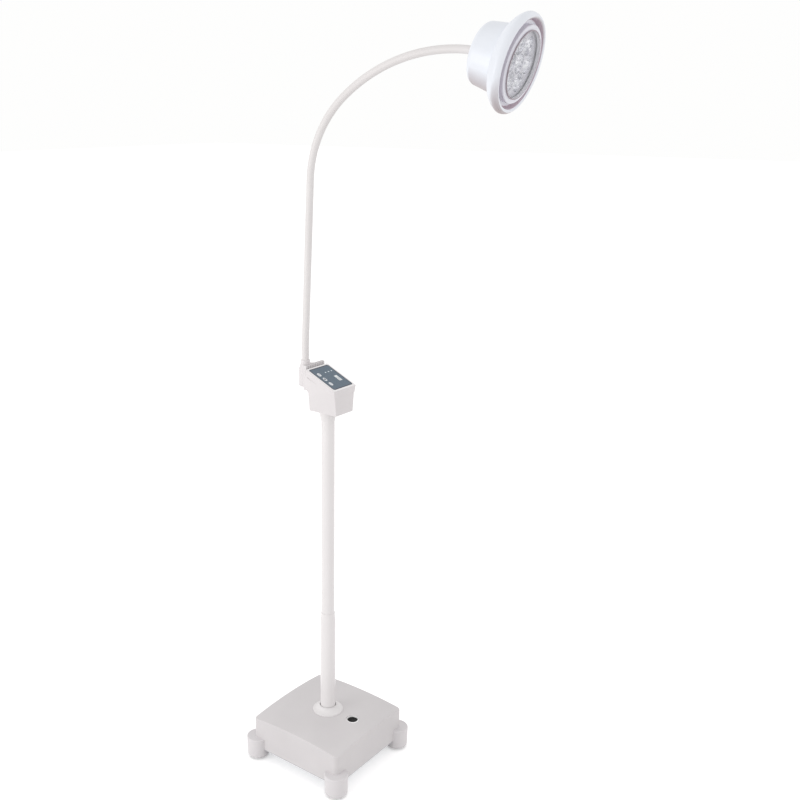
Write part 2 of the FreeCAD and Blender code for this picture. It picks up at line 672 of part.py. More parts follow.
def pole_flange():
    """Moulded rosette where the pole enters the top, with a dark gap round the tube."""
    inner = LOWER_POLE_R + POLE_FLANGE_GAP
    neck = inner + POLE_FLANGE_NECK
    foot = BASE_TOP_Z + POLE_FLANGE_LIP
    top = BASE_TOP_Z + POLE_FLANGE_H
    skirt_top = top - 2.5
    outline = path((neck, skirt_top), (neck, top - 1), (neck - 1, top), (inner, top),
                   (inner, BASE_TOP_Z - 3), (POLE_FLANGE_R, BASE_TOP_Z - 3), (POLE_FLANGE_R, foot - 1),
                   (POLE_FLANGE_R - 1, foot))
    mid_r = (neck + POLE_FLANGE_R) / 2 - 1.5
    mid_z = (foot + skirt_top) / 2 - 1.5
    outline.append(arc((POLE_FLANGE_R - 1, foot), (mid_r, mid_z), (neck, skirt_top)))
    return turned(outline).cut(dome())


def tube(outer, inner, z0, z1):
    return cylinder(outer, z0, z1).cut(cylinder(inner, z0 - 1, z1 + 1))


def lower_pole():
    return tube(LOWER_POLE_R, LOWER_POLE_BORE_R, SOCKET_FLOOR_Z, LOWER_POLE_TOP_Z)


def pole_collar():
    """Tapered reducing collar that closes the top of the lower pole."""
    bore = UPPER_POLE_R + RUN
    top = LOWER_POLE_TOP_Z + POLE_COLLAR_H
    return turned_polygon((bore, LOWER_POLE_TOP_Z), (LOWER_POLE_R, LOWER_POLE_TOP_Z),
                          (LOWER_POLE_R, LOWER_POLE_TOP_Z + 2), (bore + POLE_COLLAR_LIP, top - 1),
                          (bore + POLE_COLLAR_LIP, top), (bore, top))


def glide_bush():
    """Plastic bush inside the top of the lower pole, which guides the upper pole."""
    return tube(LOWER_POLE_BORE_R - FIT, UPPER_POLE_R + RUN,
                LOWER_POLE_TOP_Z - BUSH_LENGTH, LOWER_POLE_TOP_Z)


def mast_glide():
    """Plastic foot that centres the upper pole in the lower one; the pole turns on its spigot."""
    top = UPPER_POLE_BOTTOM_Z + GLIDE_SPIGOT
    foot = UPPER_POLE_BOTTOM_Z - GLIDE_LENGTH
    outer = LOWER_POLE_BORE_R - RUN
    spigot = UPPER_POLE_BORE_R - RUN
    return turned_polygon((GLIDE_BORE_R, foot), (outer - 1, foot), (outer, foot + 1),
                          (outer, UPPER_POLE_BOTTOM_Z), (spigot, UPPER_POLE_BOTTOM_Z),
                          (spigot, top), (GLIDE_BORE_R, top))


def upper_pole():
    return tube(UPPER_POLE_R, UPPER_POLE_BORE_R, UPPER_POLE_BOTTOM_Z, BOX_FLOOR_Z + POLE_IN_BOX)


# ---- control box ---------------------------------------------------------------------------------
def box_collar():
    """Tapered clamp collar under the box."""
    bore = UPPER_POLE_R + FIT
    foot = BOX_BOTTOM_Z - BOX_COLLAR_H
    return turned_polygon((bore, foot), (bore + BOX_COLLAR_LIP, foot),
                          (bore + BOX_COLLAR_LIP, foot + 2), (BOX_COLLAR_R, BOX_BOTTOM_Z - 3),
                          (BOX_COLLAR_R, BOX_BOTTOM_Z), (bore, BOX_BOTTOM_Z))


def box_core(inset, z0):
    """The box's tapered body, closed, up to well over the panel."""
    top = TOWER_TOP_Z + BOX_ABOVE / 2
    spread = math.tan(math.radians(BOX_SIDE_DRAFT))
    outlines = []
    for z in (z0, top):
        half = BOX_FOOT_WIDTH / 2 + (z - BOX_BOTTOM_Z) * spread - inset
        outlines.append(rounded_outline(BOX_REAR_X + inset, BOX_FRONT_X - inset, -half, half,
                                        BOX_CORNER_R, z))
    return Part.makeLoft(outlines, True, True)


def parting_z(x):
    return PANEL_MID_Z - (x - PANEL_MID_X) * math.tan(TILT) - LID_SKIRT


def box_screw_places():
    inset = BOX_WALL + BOX_SCREW_BOSS_R - 0.5
    y = BOX_FOOT_WIDTH / 2 - inset
    for x in (BOX_REAR_X + inset, BOX_FRONT_X - inset):
        for side in (-1, 1):
            yield x, side * y


def box_tray():
    """Lower half of the box, with the raised rear ledge, the lug and the gooseneck's boss."""
    half = TOWER_WIDTH / 2
    core = box_core(0, BOX_BOTTOM_Z).cut(above_panel(-PARTING_DROP))
    low_tower = block(TOWER_REAR_X, BOX_REAR_X + BOX_WALL, -half, half, LUG_BOTTOM_Z, TOWER_TOP_Z)
    low_tower = low_tower.cut(above_panel(-PARTING_DROP))
    tower = rounded_prism(TOWER_REAR_X, TOWER_FRONT_X, -half, half, 2, LUG_BOTTOM_Z, TOWER_TOP_Z)
    tower = tower.makeFillet(1.5, [e for e in tower.Edges if e.BoundBox.ZMin > TOWER_TOP_Z - 1])
    root_x = TOWER_REAR_X + 1
    web = Part.Face(Part.makePolygon([Vector(root_x, -LUG_ROOT_HALF, LUG_BOTTOM_Z),
                                      Vector(BOSS_X, -LUG_END_HALF, LUG_BOTTOM_Z),
                                      Vector(BOSS_X, LUG_END_HALF, LUG_BOTTOM_Z),
                                      Vector(root_x, LUG_ROOT_HALF, LUG_BOTTOM_Z),
                                      Vector(root_x, -LUG_ROOT_HALF, LUG_BOTTOM_Z)]))
    lug = web.extrude(Vector(0, 0, LUG_TOP_Z - LUG_BOTTOM_Z))
    boss = turned_polygon((0, LUG_BOTTOM_Z), (BOSS_R - 1.5, LUG_BOTTOM_Z), (BOSS_R, LUG_BOTTOM_Z + 1.5),
                          (BOSS_R, BOSS_CYLINDER_TOP_Z), (BOSS_SHOULDER_R, BOSS_SHOULDER_Z),
                          (0, BOSS_SHOULDER_Z))
    boss.translate(Vector(BOSS_X, 0, 0))
    gusset_half = BOX_FOOT_WIDTH / 2 - 4
    slope = Part.Face(Part.makePolygon([Vector(BOX_REAR_X + 1, -gusset_half, LUG_BOTTOM_Z - GUSSET),
                                        Vector(BOX_REAR_X + 1, -gusset_half, LUG_BOTTOM_Z),
                                        Vector(BOX_REAR_X - GUSSET, -gusset_half, LUG_BOTTOM_Z),
                                        Vector(BOX_REAR_X + 1, -gusset_half, LUG_BOTTOM_Z - GUSSET)]))
    gusset = slope.extrude(Vector(0, 2 * gusset_half, 0))
    tray = joined([core, low_tower, tower, lug, boss, gusset])
    hollow = box_core(BOX_WALL, BOX_FLOOR_Z).cut(above_panel(-PARTING_DROP + 1))
    tray = tray.cut(hollow)
    socket = cylinder(BOX_COLLAR_R - 1, BOX_FLOOR_Z - 1, BOX_FLOOR_Z + POLE_IN_BOX)
    bosses = [cylinder(BOX_SCREW_BOSS_R, BOX_FLOOR_Z - 1, parting_z(x) + 20, x, y)
              .cut(above_panel(-PARTING_DROP)) for x, y in box_screw_places()]
    tray = joined([tray, socket] + bosses)
    tray = tray.cut(cylinder(UPPER_POLE_R + FIT, BOX_BOTTOM_Z - 1, BOX_FLOOR_Z + POLE_IN_BOX + 1))
    for x, y in box_screw_places():
        tray = tray.cut(cylinder(BOX_SCREW_R + FIT, BOX_BOTTOM_Z - 1, TOWER_TOP_Z, x, y))
        tray = tray.cut(cylinder(BOX_SCREW_HEAD_R + LOOSE, BOX_BOTTOM_Z - 1,
                                 BOX_BOTTOM_Z + BOX_SCREW_HEAD_H, x, y))
    tray = tray.cut(cylinder(NECK_R + FIT, LUG_BOTTOM_Z - 1, BOSS_SHOULDER_Z + 1, BOSS_X, 0))
    tray = tray.cut(cylinder(NECK_NUT_R + LOOSE, LUG_BOTTOM_Z - 1, LUG_BOTTOM_Z + NECK_NUT_H,
                             BOSS_X, 0))
    cable_way = Part.makeCylinder(3.5, BOX_REAR_X + BOX_WALL + 1 - BOSS_X,
                                  Vector(BOSS_X, 0, (LUG_BOTTOM_Z + LUG_TOP_Z) / 2), Vector(1, 0, 0))
    return tray.cut(cable_way)


def box_screws():
    screws = []
    for x, y in box_screw_places():
        head_top = BOX_BOTTOM_Z + BOX_SCREW_HEAD_H
        tip = parting_z(x) + BOX_SCREW_BITE
        head = cylinder(BOX_SCREW_HEAD_R, BOX_BOTTOM_Z, head_top, x, y)
        screws.append(joined([head, cylinder(BOX_SCREW_R, head_top, tip, x, y)]))
    return group(screws)


def key_places():
    for number in range(3):
        yield KEY_FIRST_X + number * KEY_SPACING, KEY_ROW_Y


def panel_cut(shape, cuts):
    for cut in cuts:
        shape = shape.cut(placed(cut, PANEL_FRAME))
    return shape


def overlay_prism(inset, z0, z1):
    half_x = PANEL_LENGTH / 2 - OVERLAY_MARGIN - inset
    half_y = LID_WIDTH / 2 - OVERLAY_MARGIN - inset
    return rounded_prism(-half_x, half_x, -half_y, half_y, OVERLAY_CORNER_R, z0, z1)


def lid_outline(local_z):
    """The lid's outline in a plane parallel to the panel, narrower further down."""
    down = -local_z / PARTING_DROP
    forward = -local_z * math.tan(TILT)
    half_x = PANEL_LENGTH / 2
    half_y = LID_WIDTH / 2 - down * LID_FLARE
    return rounded_outline(forward - half_x, forward + half_x - down * LID_FRONT_FLARE,
                           -half_y, half_y, LID_CORNER_R, local_z)


def box_lid():
    """Upper shell of the box: a flared wall round a sloping panel seat."""
    half = LID_WIDTH / 2
    z0, z1 = BOX_BOTTOM_Z, TOWER_TOP_Z + BOX_ABOVE
    lid = placed(Part.makeLoft([lid_outline(-PARTING_DROP), lid_outline(0)], True, True), PANEL_FRAME)
    rim = [e for e in lid.Edges if placed(e, PANEL_FRAME.inverse()).BoundBox.ZMin > -0.01]
    lid = lid.makeFillet(LID_EDGE_ROUND, rim)
    inner = rounded_prism(LID_REAR_X + LID_WALL, LID_FRONT_X - LID_WALL, LID_WALL - half,
                          half - LID_WALL, 1.5, z0, z1)
    lid = lid.cut(inner.cut(above_panel(-LID_TOP_T)))
    bosses = [cylinder(BOX_SCREW_BOSS_R, z0, z1, x, y).cut(above_panel(-LID_TOP_T + 0.5))
              .cut(below_panel(-PARTING_DROP)) for x, y in box_screw_places()]
    post_y = CONTROL_BOARD_Y / 2 - CONTROL_POST_INSET
    for x in (KEY_FIRST_X + KEY_SPACING * 0.5, KEY_FIRST_X + KEY_SPACING * 1.5):
        for y in (-post_y, post_y):
            bosses.append(placed(cylinder(CONTROL_POST_R, -CONTROL_BOARD_DROP, -LID_TOP_T + 0.5, x, y),
                                 PANEL_FRAME))
    lid = joined([lid] + bosses)
    for x, y in box_screw_places():
        lid = lid.cut(cylinder(BOX_SCREW_R + FIT, z0, parting_z(x) + BOX_SCREW_BITE, x, y))
    cuts = [overlay_prism(0, -OVERLAY_T, 1)]
    for x, y in key_places():
        cuts.append(stadium(KEY_LENGTH + 2 * LOOSE, KEY_WIDTH + 2 * LOOSE, -LID_TOP_T - 1, 0, x, y))
    return panel_cut(lid, cuts)


def display_block(grow, z0, z1):
    length, width = DISPLAY_LENGTH / 2 + grow, DISPLAY_WIDTH / 2 + grow
    return block(DISPLAY_AT_X - length, DISPLAY_AT_X + length, DISPLAY_AT_Y - width,
                 DISPLAY_AT_Y + width, z0, z1)


def lamp_dot_places():
    for number in range(3):
        yield LAMP_DOT_X, LAMP_DOT_FIRST_Y + number * LAMP_DOT_SPACING


def keypad_overlay():
    """Printed membrane let into the lid, cut out round the keys, the display and the lamps."""
    sheet = overlay_prism(FIT, -OVERLAY_T, 0)
    for x, y in key_places():
        sheet = sheet.cut(stadium(KEY_LENGTH + 2 * LOOSE, KEY_WIDTH + 2 * LOOSE, -OVERLAY_T - 1, 1, x, y))
    sheet = sheet.cut(display_block(FIT, -OVERLAY_T - 1, 1))
    for x, y in lamp_dot_places():
        sheet = sheet.cut(cylinder(LAMP_DOT_R + FIT, -OVERLAY_T - 1, 1, x, y))
    return placed(sheet, PANEL_FRAME)


def display_window():
    return placed(display_block(0, -OVERLAY_T, 0.2), PANEL_FRAME)


def lamp_dots():
    dots = [cylinder(LAMP_DOT_R, -OVERLAY_T, 0.2, x, y) for x, y in lamp_dot_places()]
    return placed(group(dots), PANEL_FRAME)


def key(x, y):
    cap = stadium(KEY_LENGTH, KEY_WIDTH, -LID_TOP_T, KEY_PROUD, x, y)
    switch_top = -CONTROL_BOARD_DROP + SWITCH_PAD_H
    stem = cylinder(KEY_STEM_R, switch_top + KEY_TRAVEL + KEY_LOST_MOTION, -LID_TOP_T, x, y)
    return placed(joined([cap, stem]), PANEL_FRAME)



def control_board():
    """Circuit board under the lid, with a push switch under each key."""
    half_x, half_y = CONTROL_BOARD_X / 2, CONTROL_BOARD_Y / 2
    z1 = -CONTROL_BOARD_DROP
    z0 = z1 - CONTROL_BOARD_T
    pieces = [block(-half_x, half_x, -half_y, half_y, z0, z1)]
    for x, y in key_places():
        pieces.append(block(x - SWITCH_PAD_HALF, x + SWITCH_PAD_HALF, y - SWITCH_PAD_HALF,
                            y + SWITCH_PAD_HALF, z1, z1 + SWITCH_PAD_H))
    pieces.append(display_block(-DISPLAY_MODULE_INSET, z1, z1 + DISPLAY_MODULE_H))
    pieces.append(block(CHIP_AT_X - CHIP_X / 2, CHIP_AT_X + CHIP_X / 2, CHIP_AT_Y - CHIP_Y / 2,
                        CHIP_AT_Y + CHIP_Y / 2, z1, z1 + CHIP_H))
    return placed(joined(pieces), PANEL_FRAME)


# ---- gooseneck -----------------------------------------------------------------------------------
NECK_START_Z = LUG_BOTTOM_Z + 1
NECK_FRAME = FreeCAD.Placement(Vector(BOSS_X, 0, NECK_START_Z),
                               FreeCAD.Rotation(Vector(0, 0, 1), NECK_TURN))
NECK_COURSE = tuple(zip(NECK_LENGTHS, NECK_BENDS))
NECK_LENGTH = sum(NECK_LENGTHS)
NECK_BURIED = BOSS_SHOULDER_Z - NECK_START_Z
NECK_STATIONS = [NECK_BURIED + (NECK_LENGTH - NECK_BURIED) * k / NECK_SEGMENTS
                 for k in range(NECK_SEGMENTS + 1)]


def heading(angle):
    """Unit vector in the neck's plane, at an angle in radians from upright."""
    return Vector(math.sin(angle), 0, math.cos(angle))


def neck_at(length):
    """Point and angle from upright of the neck's centre line, a length along from its foot."""
    point, angle, done = Vector(0, 0, 0), 0.0, 0.0
    for piece, turn in NECK_COURSE:
        along = min(length - done, piece)
        if turn:
            radius = piece / math.radians(turn)
            after = angle + along / radius
            point = point + Vector(math.cos(angle) - math.cos(after), 0,
                                   math.sin(after) - math.sin(angle)) * radius
            angle = after
        else:
            point = point + heading(angle) * along
        done += piece
        if length <= done:
            return point, angle
    return point + heading(angle) * (length - done), angle


def neck_run(length0, length1, radius):
    """A round rod along the centre line between two lengths."""
    marks = [length0]
    done = 0.0
    for piece, _ in NECK_COURSE:
        done += piece
        if length0 < done < length1:
            marks.append(done)
    marks.append(length1)
    edges = []
    for a, b in zip(marks, marks[1:]):
        first, mid, last = neck_at(a), neck_at((a + b) / 2), neck_at(b)
        if last[1] - first[1] < 1e-6:
            edges.append(Part.makeLine(first[0], last[0]))
        else:
            edges.append(Part.Arc(first[0], mid[0], last[0]).toShape())
    point, angle = neck_at(length0)
    section = Part.Wire([Part.makeCircle(radius, point, heading(angle))])
    return Part.Wire(edges).makePipeShell([section], True, False)


def neck_segment(number):
    """One length of the gooseneck: a round end that sits in the cup of the length before it."""
    first, last = number == 0, number == NECK_SEGMENTS - 1
    start = 0.0 if first else NECK_STATIONS[number]
    end = NECK_STATIONS[number + 1] + (NECK_TAIL if last else -NECK_CUP_BACK)
    solid = neck_run(start, end, NECK_R)
    bore = neck_run(start, end, NECK_BORE_R)
    if not first:
        point, angle = neck_at(start)
        solid = solid.fuse(Part.makeSphere(NECK_R, point))
        mouth = Part.makeCylinder(NECK_BORE_R, 2 * NECK_R, point - heading(angle) * 2 * NECK_R,
                                  heading(angle))
        bore = bore.fuse(mouth)
    segment = solid.cut(bore)
    if not last:
        segment = segment.cut(Part.makeSphere(CUP_RADIUS, neck_at(NECK_STATIONS[number + 1])[0]))
    return placed(segment, NECK_FRAME)


def neck_nut():
    bore = cylinder(NECK_R + FIT, 0, NECK_NUT_H)
    nut = hexagon(NECK_NUT_R, 0, NECK_NUT_H - FIT).cut(bore)
    return nut.translated(Vector(BOSS_X, 0, LUG_BOTTOM_Z))


def neck_ferrule():
    """Short collar round the foot of the gooseneck."""
    ring = turned_polygon((NECK_R + LOOSE, 0), (NECK_FERRULE_R, 0), (NECK_FERRULE_R, NECK_FERRULE_H - 1),
                          (NECK_FERRULE_R - 1, NECK_FERRULE_H), (NECK_R + LOOSE, NECK_FERRULE_H))
    return ring.translated(Vector(BOSS_X, 0, BOSS_SHOULDER_Z))


# ---- lamp head -----------------------------------------------------------------------------------
HEAD_TIP, HEAD_ANGLE = neck_at(NECK_LENGTH)
HEAD_FRAME = NECK_FRAME.multiply(FreeCAD.Placement(
    HEAD_TIP, FreeCAD.Rotation(Vector(0, 1, 0), math.degrees(HEAD_ANGLE))))
RIM_INNER_R = HEAD_DRUM_R - HEAD_WALL
GROOVE_INNER_R = BEZEL_R + BEZEL_GAP
BEZEL_FLANGE_R = BEZEL_R + BEZEL_FLANGE
BEZEL_WINDOW_R = BEZEL_R - BEZEL_LIP
BEZEL_SEAT = BEZEL_FRONT - BEZEL_LIP_T
GLASS_WINDOW_R = BEZEL_WINDOW_R - GASKET_SLEEVE
GLASS_FRONT = BEZEL_FRONT + GLASS_PROUD
GLASS_BACK = BEZEL_SEAT - GASKET_T - GLASS_FLANGE_T
LENS_FRONT = GLASS_BACK - LENS_GAP
LED_BOARD_FRONT = SINK_FRONT + LED_BOARD_T


def bell_mid(r0, z0, r1, z1, belly):
    """A point beside the middle of a line, outwards and backwards by the belly."""
    length = math.hypot(r1 - r0, z1 - z0)
    return ((r0 + r1) / 2 + belly * (z1 - z0) / length, (z0 + z1) / 2 - belly * (r1 - r0) / length)


def head_post_places():
    for k in range(4):
        turn = math.radians(45 + 90 * k)
        yield HEAD_POST_AT_R * math.cos(turn), HEAD_POST_AT_R * math.sin(turn)


def back_housing():
    """Drum of the lamp head, with four posts for the heat sink."""
    flat = HEAD_BACK_R - HEAD_BACK_ROUND
    bend = HEAD_BACK_ROUND * math.sqrt(0.5)
    inner_round = HEAD_BACK_ROUND - HEAD_WALL
    inner_bend = inner_round * math.sqrt(0.5)
    outline = path((FERRULE_BODY_R + FIT, 0), (flat, 0))
    outline.append(arc((flat, 0), (flat + bend, HEAD_BACK_ROUND - bend), (HEAD_BACK_R, HEAD_BACK_ROUND)))
    outline += path((HEAD_BACK_R, HEAD_BACK_ROUND), (HEAD_DRUM_R, HEAD_DRUM_LENGTH),
                    (RIM_INNER_R, HEAD_DRUM_LENGTH), (HEAD_BACK_R - HEAD_WALL, HEAD_BACK_ROUND))
    outline.append(arc((HEAD_BACK_R - HEAD_WALL, HEAD_BACK_ROUND),
                       (flat + inner_bend, HEAD_BACK_ROUND - inner_bend), (flat, HEAD_WALL)))
    outline += path((flat, HEAD_WALL), (FERRULE_BODY_R + FIT, HEAD_WALL), (FERRULE_BODY_R + FIT, 0))
    drum = turned(outline)
    posts = [cylinder(HEAD_POST_R, HEAD_POST_START, SINK_FRONT - SINK_T, x, y)
             for x, y in head_post_places()]
    drum = joined([drum] + posts)
    for x, y in head_post_places():
        drum = drum.cut(cylinder(HEAD_SCREW_R + FIT, SINK_FRONT - HEAD_SCREW_LENGTH - 1, SINK_FRONT, x, y))
    return drum


def rim_ring():
    """Bell-shaped front ring with a rolled lip and a groove round the bezel."""
    outer_mid = bell_mid(HEAD_DRUM_R, HEAD_DRUM_LENGTH, RIM_R, RIM_WIDEST, RIM_BELLY)
    inner_end = (RIM_R - HEAD_WALL - 1, RIM_WIDEST - 1)
    inner_mid = bell_mid(RIM_INNER_R, HEAD_DRUM_LENGTH, *inner_end, RIM_BELLY)
    crown = ((RIM_R + RIM_LIP_R) / 2 + RIM_CROWN_OUT, (RIM_WIDEST + RIM_FRONT) / 2 + RIM_CROWN_FORWARD)
    lip_end = (RIM_LIP_INNER_R, RIM_FRONT - RIM_LIP_DEPTH)
    roll = ((RIM_LIP_R + RIM_LIP_INNER_R) / 2 - RIM_ROLL, RIM_FRONT - RIM_ROLL)
    outline = [arc((HEAD_DRUM_R, HEAD_DRUM_LENGTH), outer_mid, (RIM_R, RIM_WIDEST)),
               arc((RIM_R, RIM_WIDEST), crown, (RIM_LIP_R, RIM_FRONT)),
               arc((RIM_LIP_R, RIM_FRONT), roll, lip_end)]
    floor_back = GROOVE_FLOOR - GROOVE_FLOOR_T
    outline += path(lip_end, (GROOVE_WALL_R, GROOVE_FLOOR), (GROOVE_INNER_R, GROOVE_FLOOR),
                    (GROOVE_INNER_R, floor_back), (inner_end[0] - RIM_STEP, floor_back), inner_end)
    outline.append(arc(inner_end, inner_mid, (RIM_INNER_R, HEAD_DRUM_LENGTH)))
    outline += path((RIM_INNER_R, HEAD_DRUM_LENGTH), (HEAD_DRUM_R, HEAD_DRUM_LENGTH))
    return turned(outline)


def bezel_ring():
    """Screw ring round the glass, standing on the groove's floor."""
    seat = BEZEL_SEAT
    inner = BEZEL_R - BEZEL_WALL
    return turned_polygon((inner, GROOVE_FLOOR), (BEZEL_FLANGE_R, GROOVE_FLOOR),
                          (BEZEL_FLANGE_R, GROOVE_FLOOR + BEZEL_FLANGE_T),
                          (BEZEL_R, GROOVE_FLOOR + BEZEL_FLANGE_T), (BEZEL_R, BEZEL_FRONT - BEZEL_EDGE),
                          (BEZEL_R - BEZEL_EDGE, BEZEL_FRONT), (BEZEL_WINDOW_R, BEZEL_FRONT),
                          (BEZEL_WINDOW_R, seat), (inner, seat))


def glass_gasket():
    """Rubber ring between the bezel and the glass, with a sleeve that shows round the glass."""
    outer = BEZEL_R - BEZEL_WALL - FIT
    inner = GLASS_WINDOW_R + FIT
    sleeve = BEZEL_WINDOW_R - FIT
    back, front = BEZEL_SEAT - GASKET_T, GLASS_FRONT - GASKET_BACK_OFF
    return turned_polygon((inner, back), (outer, back), (outer, BEZEL_SEAT), (sleeve, BEZEL_SEAT),
                          (sleeve, front), (inner, front))


def front_glass():
    """Stepped glass: a flange behind the bezel and a thick middle that stands in front of it."""
    flange = BEZEL_R - BEZEL_WALL - FIT
    step = GLASS_BACK + GLASS_FLANGE_T
    return turned_polygon((0, GLASS_BACK), (flange, GLASS_BACK), (flange, step), (GLASS_WINDOW_R, step),
                          (GLASS_WINDOW_R, GLASS_FRONT - GLASS_EDGE), (GLASS_WINDOW_R - GLASS_EDGE, GLASS_FRONT),
                          (0, GLASS_FRONT))


def cup_places():
    yield 0.0, 0.0
    for k in range(6):
        turn = math.radians(30 + 60 * k)
        yield CUP_SPACING * math.cos(turn), CUP_SPACING * math.sin(turn)


def lens_cups():
    """One moulding of seven bright reflector cups, standing on the lamp board."""
    outer = BEZEL_R - BEZEL_WALL - CUP_PLATE_GAP
    plate_back = LENS_FRONT - LENS_PLATE_T
    cups = [cylinder(outer, plate_back, LENS_FRONT)]
    hollows = []
    depth = LENS_FRONT - LED_BOARD_FRONT
    wall = CUP_WALL
    mid_r = (CUP_R + CUP_FOOT_R) / 2 + CUP_BELLY
    mid_z = LED_BOARD_FRONT + depth * CUP_BELLY_AT
    for x, y in cup_places():
        body = path((0, LED_BOARD_FRONT), (CUP_FOOT_R + wall, LED_BOARD_FRONT))
        body.append(arc((CUP_FOOT_R + wall, LED_BOARD_FRONT), (mid_r + wall, mid_z),
                        (CUP_R + wall, LENS_FRONT)))
        body += path((CUP_R + wall, LENS_FRONT), (0, LENS_FRONT), (0, LED_BOARD_FRONT))
        cups.append(turned(body).translated(Vector(x, y, 0)))
        floor = LED_BOARD_FRONT + wall
        hollow = path((0, floor), (CUP_FOOT_R, floor))
        hollow.append(arc((CUP_FOOT_R, floor), (mid_r, mid_z), (CUP_R, LENS_FRONT)))
        hollow += path((CUP_R, LENS_FRONT), (0, LENS_FRONT), (0, floor))
        hollows.append(turned(hollow).translated(Vector(x, y, 0)))
        hollows.append(cylinder(CUP_HOLE_R, LED_BOARD_FRONT - 1, floor + 1, x, y))
    moulding = joined(cups)
    for hollow in hollows:
        moulding = moulding.cut(hollow)
    return moulding


def led_board():
    return cylinder(LED_BOARD_R, SINK_FRONT, LED_BOARD_FRONT)


def led_chips():
    chips = []
    for x, y in cup_places():
        base = cylinder(LED_R, LED_BOARD_FRONT, LED_BOARD_FRONT + LED_H / 2, x, y)
        dome_top = Part.makeSphere(LED_R, Vector(x, y, LED_BOARD_FRONT + LED_H / 2 - LED_DOME_SINK))
        cap = dome_top.common(cylinder(LED_R, LED_BOARD_FRONT, LED_BOARD_FRONT + 2 * LED_H, x, y))
        chips.append(joined([base, cap]))
    return group(chips)


def heat_sink():
    """Aluminium disc with straight fins behind it."""
    back = SINK_FRONT - SINK_T
    disc = cylinder(SINK_R, back, SINK_FRONT)
    fins = []
    for number in range(SINK_FINS):
        y = (number - (SINK_FINS - 1) / 2) * SINK_FIN_PITCH
        reach = math.sqrt(max(SINK_FIN_REACH ** 2 - y ** 2, SINK_FIN_T ** 2))
        fins.append(block(-reach, reach, y - SINK_FIN_T / 2, y + SINK_FIN_T / 2,
                          back - SINK_FIN_DEPTH, back))
    sink = joined([disc] + fins)
    for x, y in head_post_places():
        sink = sink.cut(cylinder(HEAD_SCREW_R + FIT, back - 1, SINK_FRONT + 1, x, y))
    return sink


def head_screws():
    screws = []
    for x, y in head_post_places():
        head = cylinder(HEAD_SCREW_HEAD_R, SINK_FRONT, SINK_FRONT + HEAD_SCREW_HEAD_H, x, y)
        shank = cylinder(HEAD_SCREW_R, SINK_FRONT - HEAD_SCREW_LENGTH, SINK_FRONT, x, y)
        screws.append(joined([head, shank]))
    return group(screws)


def head_ferrule():
    """Threaded bush that joins the gooseneck to the lamp head's back wall."""
    bore = NECK_R + FIT
    return turned_polygon((bore, -FERRULE_FLANGE_T), (FERRULE_FLANGE_R - 2, -FERRULE_FLANGE_T),
                          (FERRULE_FLANGE_R, -FERRULE_FLANGE_T + 2), (FERRULE_FLANGE_R, 0),
                          (FERRULE_BODY_R, 0), (FERRULE_BODY_R, HEAD_WALL + FERRULE_NUT_H + 1),
                          (bore, HEAD_WALL + FERRULE_NUT_H + 1))


def head_nut():
    bore = cylinder(FERRULE_BODY_R + FIT, 0, HEAD_WALL + FERRULE_NUT_H + 1)
    return hexagon(FERRULE_NUT_R, HEAD_WALL, HEAD_WALL + FERRULE_NUT_H).cut(bore)


# ---- casters -------------------------------------------------------------------------------------
def caster_stems():
    stems = []
    for _, sx, sy in CORNERS:
        x, y = sx * HOOD_AT, sy * HOOD_AT
        foot = FORK_HUB_Z + STEM_FLOOR + LOOSE
        pin = cylinder(STEM_R, foot, HOOD_SHELF_Z - 2, x, y)
        stems.append(joined([pin, cylinder(STEM_COLLAR_R, FORK_TOP_Z + LOOSE, WELL_TOP_Z, x, y)]))
    return group(stems)


def caster_fork(x, y):
    """Swivelling body of one twin-wheel caster: a hub on the stem and a blade between the wheels."""
    hub = cylinder(FORK_HUB_R, FORK_HUB_Z, FORK_TOP_Z, x, y)
    half = FORK_BLADE_T / 2
    wheel_x = x - CASTER_TRAIL
    reach = WHEEL_R - 3
    blade = Part.makeCylinder(reach, FORK_BLADE_T, Vector(wheel_x, y - half, WHEEL_R), Vector(0, 1, 0))
    riser = block(wheel_x - reach / 2, x + FORK_HUB_R / 2, y - half, y + half, WHEEL_R, FORK_TOP_Z - 3)
    fork = joined([hub, blade, riser])
    fork = fork.cut(Part.makeCylinder(WHEEL_HUB_R + RUN, 4 * FORK_BLADE_T,
                                      Vector(wheel_x, y - 2 * FORK_BLADE_T, WHEEL_R), Vector(0, 1, 0)))
    return fork.cut(cylinder(STEM_R + RUN, FORK_HUB_Z + STEM_FLOOR, FORK_TOP_Z + 1, x, y))


def caster_wheel(x, y):
    """Two tyred discs on one hub, which turns in the blade."""
    inside = FORK_BLADE_T / 2 + LOOSE
    outside = inside + WHEEL_TREAD
    profile = []
    for side in (-1, 1):
        profile.append(turned_polygon((0, side * inside), (WHEEL_R - 0.8, side * inside),
                                      (WHEEL_R, side * (inside + 0.8)), (WHEEL_R, side * (outside - 1.6)),
                                      (WHEEL_R - 1.6, side * outside), (WHEEL_R - 5, side * outside),
                                      (WHEEL_R - 6, side * (outside - 1)), (0, side * (outside - 1))))
    profile.append(cylinder(WHEEL_HUB_R, -outside + 1, outside - 1))
    axle_frame = FreeCAD.Placement(Vector(x - CASTER_TRAIL, y, WHEEL_R),
                                   FreeCAD.Rotation(Vector(1, 0, 0), 90))
    return placed(joined(profile), axle_frame)


# ---- write the pieces ----------------------------------------------------------------------------
os.makedirs("parts", exist_ok=True)

for make in (base_cover, base_plate, plate_screws, ballast_block, battery_pack, battery_strap,
             charger_board, charge_inlet, switch_housing, switch_rocker, pole_socket, socket_bolts,
             pole_flange, lower_pole, pole_collar, glide_bush, mast_glide, upper_pole, box_collar,
             box_tray, box_screws, box_lid, keypad_overlay, display_window, lamp_dots, control_board,
             neck_nut, neck_ferrule, caster_stems):
    save(make.__name__, make())

